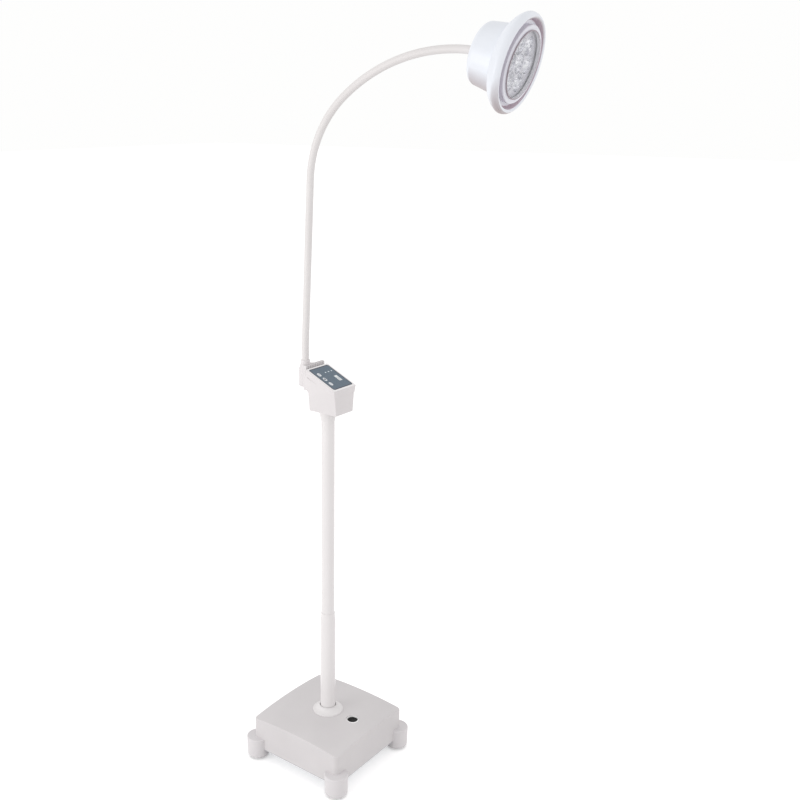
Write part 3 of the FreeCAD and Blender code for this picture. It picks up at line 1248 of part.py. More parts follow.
for name, (key_x, key_y) in zip(("mode_key", "bright_key", "power_key"), key_places()):
    save(name, key(key_x, key_y))

for segment_number in range(NECK_SEGMENTS):
    save(f"neck_length_{segment_number + 1}", neck_segment(segment_number))

for make in (head_ferrule, head_nut, back_housing, rim_ring, bezel_ring, glass_gasket, front_glass,
             lens_cups, led_board, led_chips, heat_sink, head_screws):
    save(make.__name__, placed(make(), HEAD_FRAME))

for corner, corner_x, corner_y in CORNERS:
    save(f"caster_fork_{corner}", caster_fork(corner_x * HOOD_AT, corner_y * HOOD_AT))
    save(f"caster_wheel_{corner}", caster_wheel(corner_x * HOOD_AT, corner_y * HOOD_AT))
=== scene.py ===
import json
import math

import bmesh
import bpy
from mathutils import Matrix, Vector


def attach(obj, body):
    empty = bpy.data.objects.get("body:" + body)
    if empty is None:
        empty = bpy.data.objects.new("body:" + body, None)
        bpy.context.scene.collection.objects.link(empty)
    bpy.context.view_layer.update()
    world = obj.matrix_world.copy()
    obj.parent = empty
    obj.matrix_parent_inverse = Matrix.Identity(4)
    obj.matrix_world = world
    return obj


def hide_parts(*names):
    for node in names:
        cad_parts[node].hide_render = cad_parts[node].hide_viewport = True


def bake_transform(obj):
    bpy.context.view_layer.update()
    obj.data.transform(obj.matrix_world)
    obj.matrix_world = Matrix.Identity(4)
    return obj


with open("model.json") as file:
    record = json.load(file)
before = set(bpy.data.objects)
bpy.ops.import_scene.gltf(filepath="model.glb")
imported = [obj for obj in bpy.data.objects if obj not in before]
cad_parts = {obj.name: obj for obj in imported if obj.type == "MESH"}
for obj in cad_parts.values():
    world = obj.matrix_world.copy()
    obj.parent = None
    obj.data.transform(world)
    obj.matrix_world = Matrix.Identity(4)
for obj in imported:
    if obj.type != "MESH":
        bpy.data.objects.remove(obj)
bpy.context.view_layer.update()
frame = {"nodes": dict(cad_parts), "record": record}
MM = 0.001

# ---- view ----------------------------------------------------------------------------------------
# A person's view from the front right, eye level with the upper arch, on a plain pale floor. A large
# soft lamp stands to the left and a weaker one to the right; the rest is an even white room.
CAMERA_AT = (1.4356, -1.7919, 1.613)
CAMERA_DOWN = 16.2
CAMERA_TURN = 38.7
CAMERA_LENS = 45.945
CAMERA_SHIFT = 0.09

camera_data = bpy.data.cameras.new("camera")
camera_data.lens = CAMERA_LENS
camera_data.sensor_width = 36
camera_data.shift_x = CAMERA_SHIFT
camera = bpy.data.objects.new("camera", camera_data)
camera.location = CAMERA_AT
camera.rotation_euler = (math.radians(90 - CAMERA_DOWN), 0, math.radians(CAMERA_TURN))
bpy.context.scene.collection.objects.link(camera)
bpy.context.scene.camera = camera
bpy.context.scene.view_settings.view_transform = "Standard"


def new_material(name):
    """A material with only a Principled shader, its node tree and that shader."""
    material = bpy.data.materials.new(name)
    material.use_nodes = True
    tree = material.node_tree
    shader = tree.nodes["Principled BSDF"]
    return material, tree, shader


def seen_plainly(tree):
    """A value that is 1 for rays from the camera, off gloss or through glass."""
    path = tree.nodes.new("ShaderNodeLightPath")
    first = tree.nodes.new("ShaderNodeMath")
    first.operation = "MAXIMUM"
    tree.links.new(path.outputs["Is Camera Ray"], first.inputs[0])
    tree.links.new(path.outputs["Is Glossy Ray"], first.inputs[1])
    second = tree.nodes.new("ShaderNodeMath")
    second.operation = "MAXIMUM"
    tree.links.new(first.outputs[0], second.inputs[0])
    tree.links.new(path.outputs["Is Transmission Ray"], second.inputs[1])
    return second.outputs[0]


world = bpy.data.worlds.new("white_room")
world.use_nodes = True
bpy.context.scene.world = world
room = world.node_tree
room_light = room.nodes["Background"]
room_light.inputs["Color"].default_value = (1.0, 0.985, 0.985, 1)
room_light.inputs["Strength"].default_value = 0.84
room_wall = room.nodes.new("ShaderNodeBackground")
room_wall.inputs["Color"].default_value = (0.99, 0.99, 0.985, 1)
room_mix = room.nodes.new("ShaderNodeMixShader")
room.links.new(seen_plainly(room), room_mix.inputs[0])
room.links.new(room_light.outputs[0], room_mix.inputs[1])
room.links.new(room_wall.outputs[0], room_mix.inputs[2])
room.links.new(room_mix.outputs[0], room.nodes["World Output"].inputs["Surface"])

floor_material, floor_tree, floor_shader = new_material("pale_floor")
floor_shader.inputs["Base Color"].default_value = (0.80, 0.79, 0.79, 1)
floor_shader.inputs["Roughness"].default_value = 0.9
floor_seen = floor_tree.nodes.new("ShaderNodeBsdfDiffuse")
floor_seen.inputs["Color"].default_value = (0.93, 0.93, 0.93, 1)
floor_glow = floor_tree.nodes.new("ShaderNodeEmission")
floor_glow.inputs["Color"].default_value = (1, 1, 1, 1)
floor_glow.inputs["Strength"].default_value = 0.38
floor_add = floor_tree.nodes.new("ShaderNodeAddShader")
floor_tree.links.new(floor_seen.outputs[0], floor_add.inputs[0])
floor_tree.links.new(floor_glow.outputs[0], floor_add.inputs[1])
floor_mix = floor_tree.nodes.new("ShaderNodeMixShader")
floor_tree.links.new(seen_plainly(floor_tree), floor_mix.inputs[0])
floor_tree.links.new(floor_shader.outputs[0], floor_mix.inputs[1])
floor_tree.links.new(floor_add.outputs[0], floor_mix.inputs[2])
floor_tree.links.new(floor_mix.outputs[0], floor_tree.nodes["Material Output"].inputs["Surface"])

floor_mesh = bpy.data.meshes.new("floor")
floor_mesh.from_pydata([(-30, -30, 0), (30, -30, 0), (30, 30, 0), (-30, 30, 0)], [], [(0, 1, 2, 3)])
floor_mesh.materials.append(floor_material)
floor = bpy.data.objects.new("floor", floor_mesh)
bpy.context.scene.collection.objects.link(floor)

for lamp_name, place, size, power in (("left_lamp", (-1.6, -3.4, 1.3), 2.2, 46.0),
                                      ("right_lamp", (3.6, 0.4, 1.4), 2.4, 14.0)):
    lamp_data = bpy.data.lights.new(lamp_name, "AREA")
    lamp_data.size = size
    lamp_data.energy = power
    lamp = bpy.data.objects.new(lamp_name, lamp_data)
    lamp.location = place
    lamp.rotation_euler = (Vector((0.1, 0, 1.0)) - Vector(place)).to_track_quat("-Z", "Y").to_euler()
    bpy.context.scene.collection.objects.link(lamp)


# ---- base cover ----------------------------------------------------------------------------------
# The base is one injection-moulded shell in warm white, with a fine even grain, a crowned top and
# a round hood over each caster. It is screwed to the bottom plate from below.
def node_into(tree, kind, **values):
    node = tree.nodes.new(kind)
    for key, value in values.items():
        if hasattr(node, key):
            setattr(node, key, value)
        else:
            node.inputs[key.replace("_", " ")].default_value = value
    return node


def shaded(colour, factor):
    return tuple(min(c * factor, 1.0) for c in colour) + (1.0,)


def moulded(name, colour, roughness=0.45, grain=0.25, grain_size=0.0011, mottle=0.05, coat=0.0):
    """Moulded plastic or paint: a slow drift of colour, patchy gloss and a fine grain."""
    material, tree, shader = new_material(name)
    place = tree.nodes.new("ShaderNodeTexCoord").outputs["Object"]
    drift = node_into(tree, "ShaderNodeTexNoise", Scale=7.0, Detail=3.0)
    fine = node_into(tree, "ShaderNodeTexNoise", Scale=1 / grain_size, Detail=2.0)
    patch = node_into(tree, "ShaderNodeTexNoise", Scale=38.0, Detail=4.0)
    for noise in (drift, fine, patch):
        tree.links.new(place, noise.inputs["Vector"])
    tint = node_into(tree, "ShaderNodeValToRGB")
    tint.color_ramp.elements[0].position = 0.3
    tint.color_ramp.elements[0].color = shaded(colour, 1 - mottle)
    tint.color_ramp.elements[1].position = 0.7
    tint.color_ramp.elements[1].color = shaded(colour, 1 + mottle * 0.4)
    tree.links.new(drift.outputs["Fac"], tint.inputs["Fac"])
    tree.links.new(tint.outputs["Color"], shader.inputs["Base Color"])
    gloss = node_into(tree, "ShaderNodeMapRange")
    gloss.inputs["To Min"].default_value = roughness - 0.06
    gloss.inputs["To Max"].default_value = roughness + 0.08
    tree.links.new(patch.outputs["Fac"], gloss.inputs["Value"])
    tree.links.new(gloss.outputs["Result"], shader.inputs["Roughness"])
    bump = node_into(tree, "ShaderNodeBump", Strength=grain, Distance=grain_size * 0.25)
    tree.links.new(fine.outputs["Fac"], bump.inputs["Height"])
    tree.links.new(bump.outputs["Normal"], shader.inputs["Normal"])
    shader.inputs["Coat Weight"].default_value = coat
    shader.inputs["Coat Roughness"].default_value = 0.12
    return material


def smoothed(mesh, angle=32):
    """Smooth shading that leans on the larger faces, so that flat walls stay flat beside their
    rounded edges. Faces that turn by more than the angle keep a sharp edge between them."""
    mesh.polygons.foreach_set("use_smooth", [True] * len(mesh.polygons))
    facets = [(face.normal.copy(), face.area, tuple(face.vertices)) for face in mesh.polygons]
    around_vertex = [[] for _ in mesh.vertices]
    for number, facet in enumerate(facets):
        for vertex in facet[2]:
            around_vertex[vertex].append(number)
    limit = math.cos(math.radians(angle))
    normals = []
    for normal, _, corners in facets:
        for vertex in corners:
            total = Vector()
            for number in around_vertex[vertex]:
                other, area, _ = facets[number]
                if other.dot(normal) > limit:
                    total += other * area
            normals.append(total.normalized() if total.length > 0 else normal)
    mesh.normals_split_custom_set(normals)
    mesh.update()


def piece_from(name, mesh, material, body, slot, *nodes):
    """Puts a finished mesh in the scene, on its body, in place of the solids it stands for."""
    mesh.materials.clear()
    mesh.materials.append(material)
    piece = bpy.data.objects.new(name, mesh)
    bpy.context.scene.collection.objects.link(piece)
    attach(piece, body)
    if nodes:
        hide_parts(*nodes)
    return piece


def repaint(piece, material, chosen):
    """Gives a second finish to the faces of a piece for which chosen(face) is true."""
    piece.data.materials.append(material)
    index = len(piece.data.materials) - 1
    for face in piece.data.polygons:
        if chosen(face):
            face.material_index = index


def skin_of(node, angle=32):
    """A copy of a solid's mesh with its corners joined, so that it can be shaded smoothly."""
    mesh = frame["nodes"][node].data.copy()
    mesh.name = node + "_skin"
    work = bmesh.new()
    work.from_mesh(mesh)
    bmesh.ops.remove_doubles(work, verts=work.verts, dist=2e-6)
    bmesh.ops.dissolve_degenerate(work, edges=work.edges, dist=1e-6)
    work.to_mesh(mesh)
    work.free()
    smoothed(mesh, angle)
    return mesh


SHELL_COLOUR = (0.665, 0.645, 0.650)
shell_plastic = moulded("warm_white_shell", SHELL_COLOUR, roughness=0.42, grain=0.22)
hood_plastic = moulded("warm_white_hoods", (0.72, 0.70, 0.71), roughness=0.42, grain=0.22)
base_shell = piece_from("base_shell", skin_of("base_cover"), shell_plastic, "base", "shell_white",
                        "base_cover")
BASE_HALF, PAST_WALL = 135.0, 0.5
repaint(base_shell, hood_plastic, lambda face:
        max(abs(face.center.x), abs(face.center.y)) / MM > BASE_HALF + PAST_WALL)

# ---- pole flange ---------------------------------------------------------------------------------
# A separate rosette in the same plastic covers the hole that the pole passes through. It clips to
# the top and leaves a dark gap round the tube.
flange_plastic = moulded("warm_white_rosette", (0.78, 0.765, 0.765), roughness=0.38, grain=0.15)
piece_from("pole_rosette", skin_of("pole_flange"), flange_plastic, "base", "shell_white",
           "pole_flange")

# ---- switch --------------------------------------------------------------------------------------
# A round snap-in rocker switch in the base's top: a thin white bezel and a dull black button that
# rocks in it.
switch_white = moulded("switch_bezel_white", (0.97, 0.97, 0.97), roughness=0.3, grain=0.08, coat=0.3)
switch_black = moulded("switch_button_black", (0.008, 0.008, 0.009), roughness=0.5, grain=0.1)
switch_black.node_tree.nodes["Principled BSDF"].inputs["Specular IOR Level"].default_value = 0.1
piece_from("switch_bezel", skin_of("switch_housing"), switch_white, "base", "shell_white",
           "switch_housing")
piece_from("switch_button", skin_of("switch_rocker"), switch_black, "rocker", "black_plastic",
           "switch_rocker")

# ---- pole ----------------------------------------------------------------------------------------
# Two drawn steel tubes in a smooth light enamel, one sliding in the other, with a tapered collar in
# the same colour at the top of the lower one.
ENAMEL_COLOUR = (0.80, 0.78, 0.78)
pole_enamel = moulded("pole_enamel", ENAMEL_COLOUR, roughness=0.3, grain=0.06, grain_size=0.002,
                      mottle=0.03, coat=0.35)
piece_from("pole_lower_tube", skin_of("lower_pole"), pole_enamel, "base", "pole_enamel",
           "lower_pole")
piece_from("pole_upper_tube", skin_of("upper_pole"), pole_enamel, "mast", "pole_enamel",
           "upper_pole")
piece_from("pole_taper", skin_of("pole_collar"), pole_enamel, "base", "pole_enamel",
           "pole_collar")

# ---- control box ---------------------------------------------------------------------------------
# Two mouldings held by four screws from below: a tapered tray with a rear ledge and a lug, and a
# flared lid round its sloping seat. A gap parts ledge and lid, and a tapered collar clamps the box to
# the pole. Light and shade are painted on: dark bands of painted shade on the ledge and the wall in
# front of it, the lid's rear wall painted dark as the gap's shade, and the lid's sloping top painted
# brighter as a painted highlight.
box_plastic = moulded("warm_white_box", (0.76, 0.735, 0.74), roughness=0.4, grain=0.2)
# painted shade: near-black for the lid's rear wall, where the gap between ledge and lid is in shade
gap_painted_shade = moulded("box_gap_painted_shade", (0.10, 0.095, 0.10), roughness=0.6, grain=0.2)
# painted highlight: a brighter white for the lid's sloping top, round the seat
seat_painted_highlight = moulded("box_seat_painted_highlight", (0.93, 0.92, 0.925), roughness=0.35, grain=0.1)
# painted shade: light and dark bands for the rear ledge and the wall in front of it
ledge_band_shade, ledge_band_tree, ledge_band_shader = new_material("ledge_painted_band_shade")
ledge_band_place = ledge_band_tree.nodes.new("ShaderNodeTexCoord").outputs["Object"]
ledge_band_wave = node_into(ledge_band_tree, "ShaderNodeTexWave", Scale=48.0, Distortion=1.2, Detail=1.0)
ledge_band_wave.bands_direction = "Y"
ledge_band_tree.links.new(ledge_band_place, ledge_band_wave.inputs["Vector"])
ledge_shade_tint = node_into(ledge_band_tree, "ShaderNodeValToRGB")
ledge_shade_tint.color_ramp.elements[0].color = (0.42, 0.40, 0.41, 1)
ledge_shade_tint.color_ramp.elements[1].color = (0.68, 0.66, 0.66, 1)
ledge_band_tree.links.new(ledge_band_wave.outputs["Fac"], ledge_shade_tint.inputs["Fac"])
ledge_band_tree.links.new(ledge_shade_tint.outputs["Color"], ledge_band_shader.inputs["Base Color"])
ledge_band_shader.inputs["Roughness"].default_value = 0.5
LEDGE_FRONT_X, LEDGE_TOP_Z, LID_REAR_X, NEAR = -37.1, 1029.0, -35.5, 0.2
SQUARE_ON, SEAT_LEAN, SEAT_RISE = 0.95, 0.35, 0.85
piece_from("box_under_collar", skin_of("box_collar"), pole_enamel, "mast", "pole_enamel",
           "box_collar")
box_lower = piece_from("box_lower_shell", skin_of("box_tray"), box_plastic, "mast", "shell_white",
                       "box_tray")
# the ledge's top and the wall in front of it take the banded painted shade
repaint(box_lower, ledge_band_shade, lambda face:
        abs(face.center.x / MM - LEDGE_FRONT_X) < NEAR
        or (face.center.z / MM > LEDGE_TOP_Z - NEAR and face.center.x / MM < LEDGE_FRONT_X))
box_upper = piece_from("box_upper_shell", skin_of("box_lid"), box_plastic, "mast", "shell_white",
                       "box_lid")
# the lid's rear wall in the gap is painted dark as shade
repaint(box_upper, gap_painted_shade, lambda face:
        face.normal.x < -SQUARE_ON and abs(face.center.x / MM - LID_REAR_X) < NEAR)
# the lid's upward sloping top is painted brighter as a highlight
repaint(box_upper, seat_painted_highlight, lambda face: face.normal.x > SEAT_LEAN and face.normal.z > SEAT_RISE)

# ---- keypad --------------------------------------------------------------------------------------
# A printed polyester membrane, slate blue with a darker border, let into the lid. It leaves room for
# three oval keys, a light display window and three small lamp windows.
PANEL_TILT = 24.3
LID_FRONT_X, LID_FRONT_Z = 52.0, 983.0
panel_mid_x = (LID_FRONT_X + LID_REAR_X) / 2
panel_mid_z = LID_FRONT_Z + (LID_FRONT_X - panel_mid_x) * math.tan(math.radians(PANEL_TILT))
PANEL = (Matrix.Translation((panel_mid_x * MM, 0, panel_mid_z * MM))
         @ Matrix.Rotation(math.radians(PANEL_TILT), 4, "Y"))
BORDER = 2.6


def flat_map(mesh, placing):
    """A UV map in millimetres, flat on the XY plane of the placing."""
    back = placing.inverted()
    layer = mesh.uv_layers.new(name="flat")
    for loop in mesh.loops:
        local = back @ mesh.vertices[loop.vertex_index].co
        layer.data[loop.index].uv = (local.x / MM, local.y / MM)


membrane_mesh = skin_of("keypad_overlay")
flat_map(membrane_mesh, PANEL)
membrane_reach = [max(abs(layer.uv[k]) for layer in membrane_mesh.uv_layers["flat"].data)
                  for k in (0, 1)]
membrane, membrane_tree, membrane_shader = new_material("printed_membrane")
membrane_uv = node_into(membrane_tree, "ShaderNodeUVMap", uv_map="flat")
membrane_split = node_into(membrane_tree, "ShaderNodeSeparateXYZ")
membrane_tree.links.new(membrane_uv.outputs["UV"], membrane_split.inputs[0])
edge_values = []
for axis in (0, 1):
    size = node_into(membrane_tree, "ShaderNodeMath", operation="ABSOLUTE")
    membrane_tree.links.new(membrane_split.outputs[axis], size.inputs[0])
    past = node_into(membrane_tree, "ShaderNodeMath", operation="GREATER_THAN")
    past.inputs[1].default_value = membrane_reach[axis] - BORDER
    membrane_tree.links.new(size.outputs[0], past.inputs[0])
    edge_values.append(past.outputs[0])
in_border = node_into(membrane_tree, "ShaderNodeMath", operation="MAXIMUM")
membrane_tree.links.new(edge_values[0], in_border.inputs[0])
membrane_tree.links.new(edge_values[1], in_border.inputs[1])
ink_noise = node_into(membrane_tree, "ShaderNodeTexNoise", Scale=0.35, Detail=4.0)
membrane_tree.links.new(membrane_uv.outputs["UV"], ink_noise.inputs["Vector"])
ink = node_into(membrane_tree, "ShaderNodeValToRGB")
ink.color_ramp.elements[0].position = 0.35
ink.color_ramp.elements[0].color = (0.082, 0.125, 0.170, 1)
ink.color_ramp.elements[1].position = 0.65
ink.color_ramp.elements[1].color = (0.102, 0.150, 0.200, 1)
membrane_tree.links.new(ink_noise.outputs["Fac"], ink.inputs["Fac"])
border_mix = node_into(membrane_tree, "ShaderNodeMix", data_type="RGBA")
border_mix.inputs["B"].default_value = (0.036, 0.042, 0.066, 1)
membrane_tree.links.new(in_border.outputs[0], border_mix.inputs["Factor"])
membrane_tree.links.new(ink.outputs["Color"], border_mix.inputs["A"])
membrane_tree.links.new(border_mix.outputs["Result"], membrane_shader.inputs["Base Color"])
membrane_shader.inputs["Roughness"].default_value = 0.38
dimple = node_into(membrane_tree, "ShaderNodeBump", Strength=0.12, Distance=0.0001)
dimple_noise = node_into(membrane_tree, "ShaderNodeTexNoise", Scale=2.2, Detail=2.0)
membrane_tree.links.new(membrane_uv.outputs["UV"], dimple_noise.inputs["Vector"])
membrane_tree.links.new(dimple_noise.outputs["Fac"], dimple.inputs["Height"])
membrane_tree.links.new(dimple.outputs["Normal"], membrane_shader.inputs["Normal"])
piece_from("keypad_membrane", membrane_mesh, membrane, "mast", "keypad_slate", "keypad_overlay")

key_plastic = moulded("key_white", (0.80, 0.83, 0.86), roughness=0.35, grain=0.08)
for key in ("mode", "bright", "power"):
    piece_from(key + "_button_cap", skin_of(key + "_key"), key_plastic, key + "_button", "key_white",
               key + "_key")


def plates(name, outlines, low, high, placing):
    """Thin raised plates, in millimetres on the placing's XY plane, as one mesh."""
    work = bmesh.new()
    for outline in outlines:
        bottom = [work.verts.new(placing @ Vector((x * MM, y * MM, low * MM))) for x, y in outline]
        top = [work.verts.new(placing @ Vector((x * MM, y * MM, high * MM))) for x, y in outline]
        work.faces.new(list(reversed(bottom)))
        work.faces.new(top)
        for k in range(len(outline)):
            after = (k + 1) % len(outline)
            work.faces.new((bottom[k], bottom[after], top[after], top[k]))
    bmesh.ops.recalc_face_normals(work, faces=work.faces)
    mesh = bpy.data.meshes.new(name)
    work.to_mesh(mesh)
    work.free()
    return mesh


def ring_arcs(x, y, inner, outer, count, first=0.0, sweep=360.0):
    """A ring or part of one, as small four-sided plates."""
    parts = []
    for k in range(count):
        a, b = (math.radians(first + sweep * (k + j) / count) for j in (0, 1))
        parts.append([(x + r * math.cos(t), y + r * math.sin(t))
                      for r, t in ((inner, a), (outer, a), (outer, b), (inner, b))])
    return parts


KEY_TOP, WINDOW_TOP, PRINT_H = 0.5, 0.2, 0.04
MODE_X, BRIGHT_X, POWER_X, KEY_Y = -17.5, 1.5, 20.5, -23.0
symbol_ink = moulded("symbol_ink", (0.10, 0.12, 0.15), roughness=0.4, grain=0.02)
grey_ink = moulded("symbol_ink_grey", (0.26, 0.30, 0.36), roughness=0.4, grain=0.02)
triangle = [(MODE_X - 2.4, KEY_Y - 1.8), (MODE_X + 2.4, KEY_Y - 1.8), (MODE_X, KEY_Y + 2.2)]
power_bar = [(POWER_X + x, KEY_Y + y) for x, y in ((-0.2, 0.6), (0.2, 0.6), (0.2, 2.6), (-0.2, 2.6))]
for key, outlines, ink_used in (
        ("mode", [triangle], grey_ink),
        ("bright", ring_arcs(BRIGHT_X, KEY_Y, 0.9, 2.9, 20), symbol_ink),
        ("power", ring_arcs(POWER_X, KEY_Y, 1.9, 2.3, 16, 120, 300) + [power_bar], grey_ink)):
    piece_from(key + "_symbol", plates(key + "_symbol", outlines, KEY_TOP, KEY_TOP + PRINT_H, PANEL),
               ink_used, key + "_button", "key_white")

display_white = moulded("display_backlit", (0.80, 0.85, 0.86), roughness=0.18, grain=0.02, coat=0.6)
piece_from("display_glass", skin_of("display_window"), display_white, "mast", "display_pale",
           "display_window")
SEGMENTS = {"0": "abcdef", "5": "acdfg", "8": "abcdefg"}
DIGIT_W, DIGIT_H, STROKE, DIGIT_Y = 2.6, 5.6, 0.8, 17.0
half_w, half_h = DIGIT_W / 2, DIGIT_H / 2
STROKES = {"a": (0, half_h, True), "g": (0, 0, True), "d": (0, -half_h, True),
           "f": (-half_w, half_h / 2, False), "b": (half_w, half_h / 2, False),
           "e": (-half_w, -half_h / 2, False), "c": (half_w, -half_h / 2, False)}
digit_plates = []
for digit, digit_x in (("0", 7.5), ("8", 11.5), ("5", 15.5)):
    for letter in SEGMENTS[digit]:
        sx, sy, lying = STROKES[letter]
        reach_x, reach_y = ((half_w - STROKE, STROKE / 2) if lying
                            else (STROKE / 2, half_h / 2 - STROKE))
        cx, cy = digit_x + sx, DIGIT_Y + sy
        digit_plates.append([(cx - reach_x, cy - reach_y), (cx + reach_x, cy - reach_y),
                             (cx + reach_x, cy + reach_y), (cx - reach_x, cy + reach_y)])
piece_from("display_digits", plates("display_digits", digit_plates, WINDOW_TOP, WINDOW_TOP + PRINT_H,
                                    PANEL), symbol_ink, "mast", "display_pale")
dot_plastic = moulded("lamp_window", (0.74, 0.84, 0.90), roughness=0.15, grain=0.02, coat=0.5)
piece_from("lamp_windows", skin_of("lamp_dots"), dot_plastic, "mast", "dot_lens", "lamp_dots")

# ---- gooseneck -----------------------------------------------------------------------------------
# A coiled steel core in a smooth light sleeve, all in one upright plane: an upright foot in the lug,
# a slight lean, then three arcs. The sleeve is built in pieces, each from the middle of one of the
# core's lengths to the middle of the next, in place of those lengths.
NECK_COURSE = ((92.0, 0.0), (16.8, 2.4), (370.5, 0.0), (202.8, 47.5), (301.2, 44.9), (36.5, 11.2))
NECK_TURN, BOSS_X, NECK_START_Z, NECK_BURIED = 6.0, -68.0, 971.0, 56.0
NECK_R, NECK_SEGMENTS = 8.5, 8
NECK = (Matrix.Translation((BOSS_X * MM, 0, NECK_START_Z * MM))
        @ Matrix.Rotation(math.radians(NECK_TURN), 4, "Z"))
neck_length = sum(length for length, _ in NECK_COURSE)


def neck_at(length):
    """The core's distance forward, height and angle from upright, a length along from its foot."""
    forward = height = angle = done = 0.0
    for piece, turn in NECK_COURSE:
        along = min(length - done, piece)
        if turn:
            radius = piece / math.radians(turn)
            after = angle + along / radius
            forward += (math.cos(angle) - math.cos(after)) * radius
            height += (math.sin(after) - math.sin(angle)) * radius
            angle = after
        else:
            forward += math.sin(angle) * along
            height += math.cos(angle) * along
        done += piece
        if length <= done:
            return forward, height, angle
    past = length - done
    return forward + math.sin(angle) * past, height + math.cos(angle) * past, angle


def neck_placing(length):
    """The frame of the core's section there: its Z runs along the neck."""
    forward, height, angle = neck_at(length)
    return (NECK @ Matrix.Translation((forward * MM, 0, height * MM))
            @ Matrix.Rotation(angle, 4, "Y"))


def sleeve(name, start, end, radius=NECK_R, around=40, step=4.0):
    """A closed round rod along the neck, with a UV map: round it, and along it in millimetres."""
    count = max(2, round((end - start) / step))
    work = bmesh.new()
    uv = work.loops.layers.uv.new("sleeve")
    rings = []
    for k in range(count + 1):
        length = start + (end - start) * k / count
        placing = neck_placing(length)
        ring = []
        for j in range(around):
            turn = 2 * math.pi * j / around
            ring.append(work.verts.new(placing @ Vector((radius * math.cos(turn) * MM,
                                                         radius * math.sin(turn) * MM, 0))))
        rings.append((length, ring))
    for (low, a), (high, b) in zip(rings, rings[1:]):
        for j in range(around):
            after = (j + 1) % around
            face = work.faces.new((a[j], a[after], b[after], b[j]))
            for loop, spot in zip(face.loops, ((j, low), (j + 1, low), (j + 1, high), (j, high))):
                loop[uv].uv = (spot[0] / around, spot[1])
    work.faces.new(list(reversed(rings[0][1])))
    work.faces.new(rings[-1][1])
    bmesh.ops.recalc_face_normals(work, faces=work.faces)
    mesh = bpy.data.meshes.new(name)
    work.to_mesh(mesh)
    work.free()
    smoothed(mesh, 50)
    return mesh


sleeve_skin, sleeve_tree, sleeve_shader = new_material("neck_sleeve")
sleeve_place = sleeve_tree.nodes.new("ShaderNodeTexCoord")
sleeve_drift = node_into(sleeve_tree, "ShaderNodeTexNoise", Scale=9.0, Detail=3.0)
sleeve_tree.links.new(sleeve_place.outputs["Object"], sleeve_drift.inputs["Vector"])
sleeve_tint = node_into(sleeve_tree, "ShaderNodeValToRGB")
sleeve_tint.color_ramp.elements[0].color = (0.72, 0.70, 0.695, 1)
sleeve_tint.color_ramp.elements[1].color = (0.79, 0.77, 0.765, 1)
sleeve_tree.links.new(sleeve_drift.outputs["Fac"], sleeve_tint.inputs["Fac"])
sleeve_tree.links.new(sleeve_tint.outputs["Color"], sleeve_shader.inputs["Base Color"])
sleeve_shader.inputs["Roughness"].default_value = 0.48
sleeve_uv = node_into(sleeve_tree, "ShaderNodeUVMap", uv_map="sleeve")
coil_print = node_into(sleeve_tree, "ShaderNodeTexWave", Scale=0.115, Distortion=0.4)
coil_print.bands_direction = "Y"
sleeve_tree.links.new(sleeve_uv.outputs["UV"], coil_print.inputs["Vector"])
sleeve_bump = node_into(sleeve_tree, "ShaderNodeBump", Strength=0.10, Distance=0.0002)
sleeve_tree.links.new(coil_print.outputs["Fac"], sleeve_bump.inputs["Height"])
sleeve_tree.links.new(sleeve_bump.outputs["Normal"], sleeve_shader.inputs["Normal"])

free_length = neck_length - NECK_BURIED
stations = [NECK_BURIED + free_length * k / NECK_SEGMENTS for k in range(NECK_SEGMENTS + 1)]
BEND_REACH, IN_HEAD = 48.0, 10.0
for k in range(1, NECK_SEGMENTS):
    first, last = k == 1, k == NECK_SEGMENTS - 1
    start = 0.0 if first else (stations[k - 1] + stations[k]) / 2
    end = neck_length + IN_HEAD if last else (stations[k] + stations[k + 1]) / 2
    nodes = [f"neck_length_{k}"] + ([f"neck_length_{k + 1}"] if last else [])
    sleeve_piece = bpy.data.objects.new(f"neck_sleeve_{k}", sleeve(f"neck_sleeve_{k}", start, end))
    sleeve_piece.data.materials.append(sleeve_skin)
    bpy.context.scene.collection.objects.link(sleeve_piece)
    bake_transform(sleeve_piece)
    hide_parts(*nodes)
piece_from("neck_foot_ring", skin_of("neck_ferrule"), box_plastic, "mast", "neck_grey",
           "neck_ferrule")

# ---- lamp head shell -----------------------------------------------------------------------------
# A drum with a rounded back, and a bell-shaped rim with a rolled lip round a deep groove, both spun
# and painted in a cool white satin enamel. The enamel is darkened to a brown underneath as painted
# shade, and the groove is painted a darker mauve as painted shade.
HEAD = neck_placing(neck_length)


def bow(a, mid, b, count=12):
    """Points on the arc through three (radius, z) points, both ends included."""
    (x1, y1), (x2, y2), (x3, y3) = a, mid, b
    d = 2 * (x1 * (y2 - y3) + x2 * (y3 - y1) + x3 * (y1 - y2))
    s1, s2, s3 = x1 * x1 + y1 * y1, x2 * x2 + y2 * y2, x3 * x3 + y3 * y3
    cx = (s1 * (y2 - y3) + s2 * (y3 - y1) + s3 * (y1 - y2)) / d
    cy = (s1 * (x3 - x2) + s2 * (x1 - x3) + s3 * (x2 - x1)) / d
    radius = math.hypot(x1 - cx, y1 - cy)
    start, middle, end = (math.atan2(y - cy, x - cx) for x, y in (a, mid, b))
    sweep = (end - start) % (2 * math.pi)
    if (middle - start) % (2 * math.pi) > sweep:
        sweep -= 2 * math.pi
    return [(cx + radius * math.cos(start + sweep * k / count),
             cy + radius * math.sin(start + sweep * k / count)) for k in range(count + 1)]


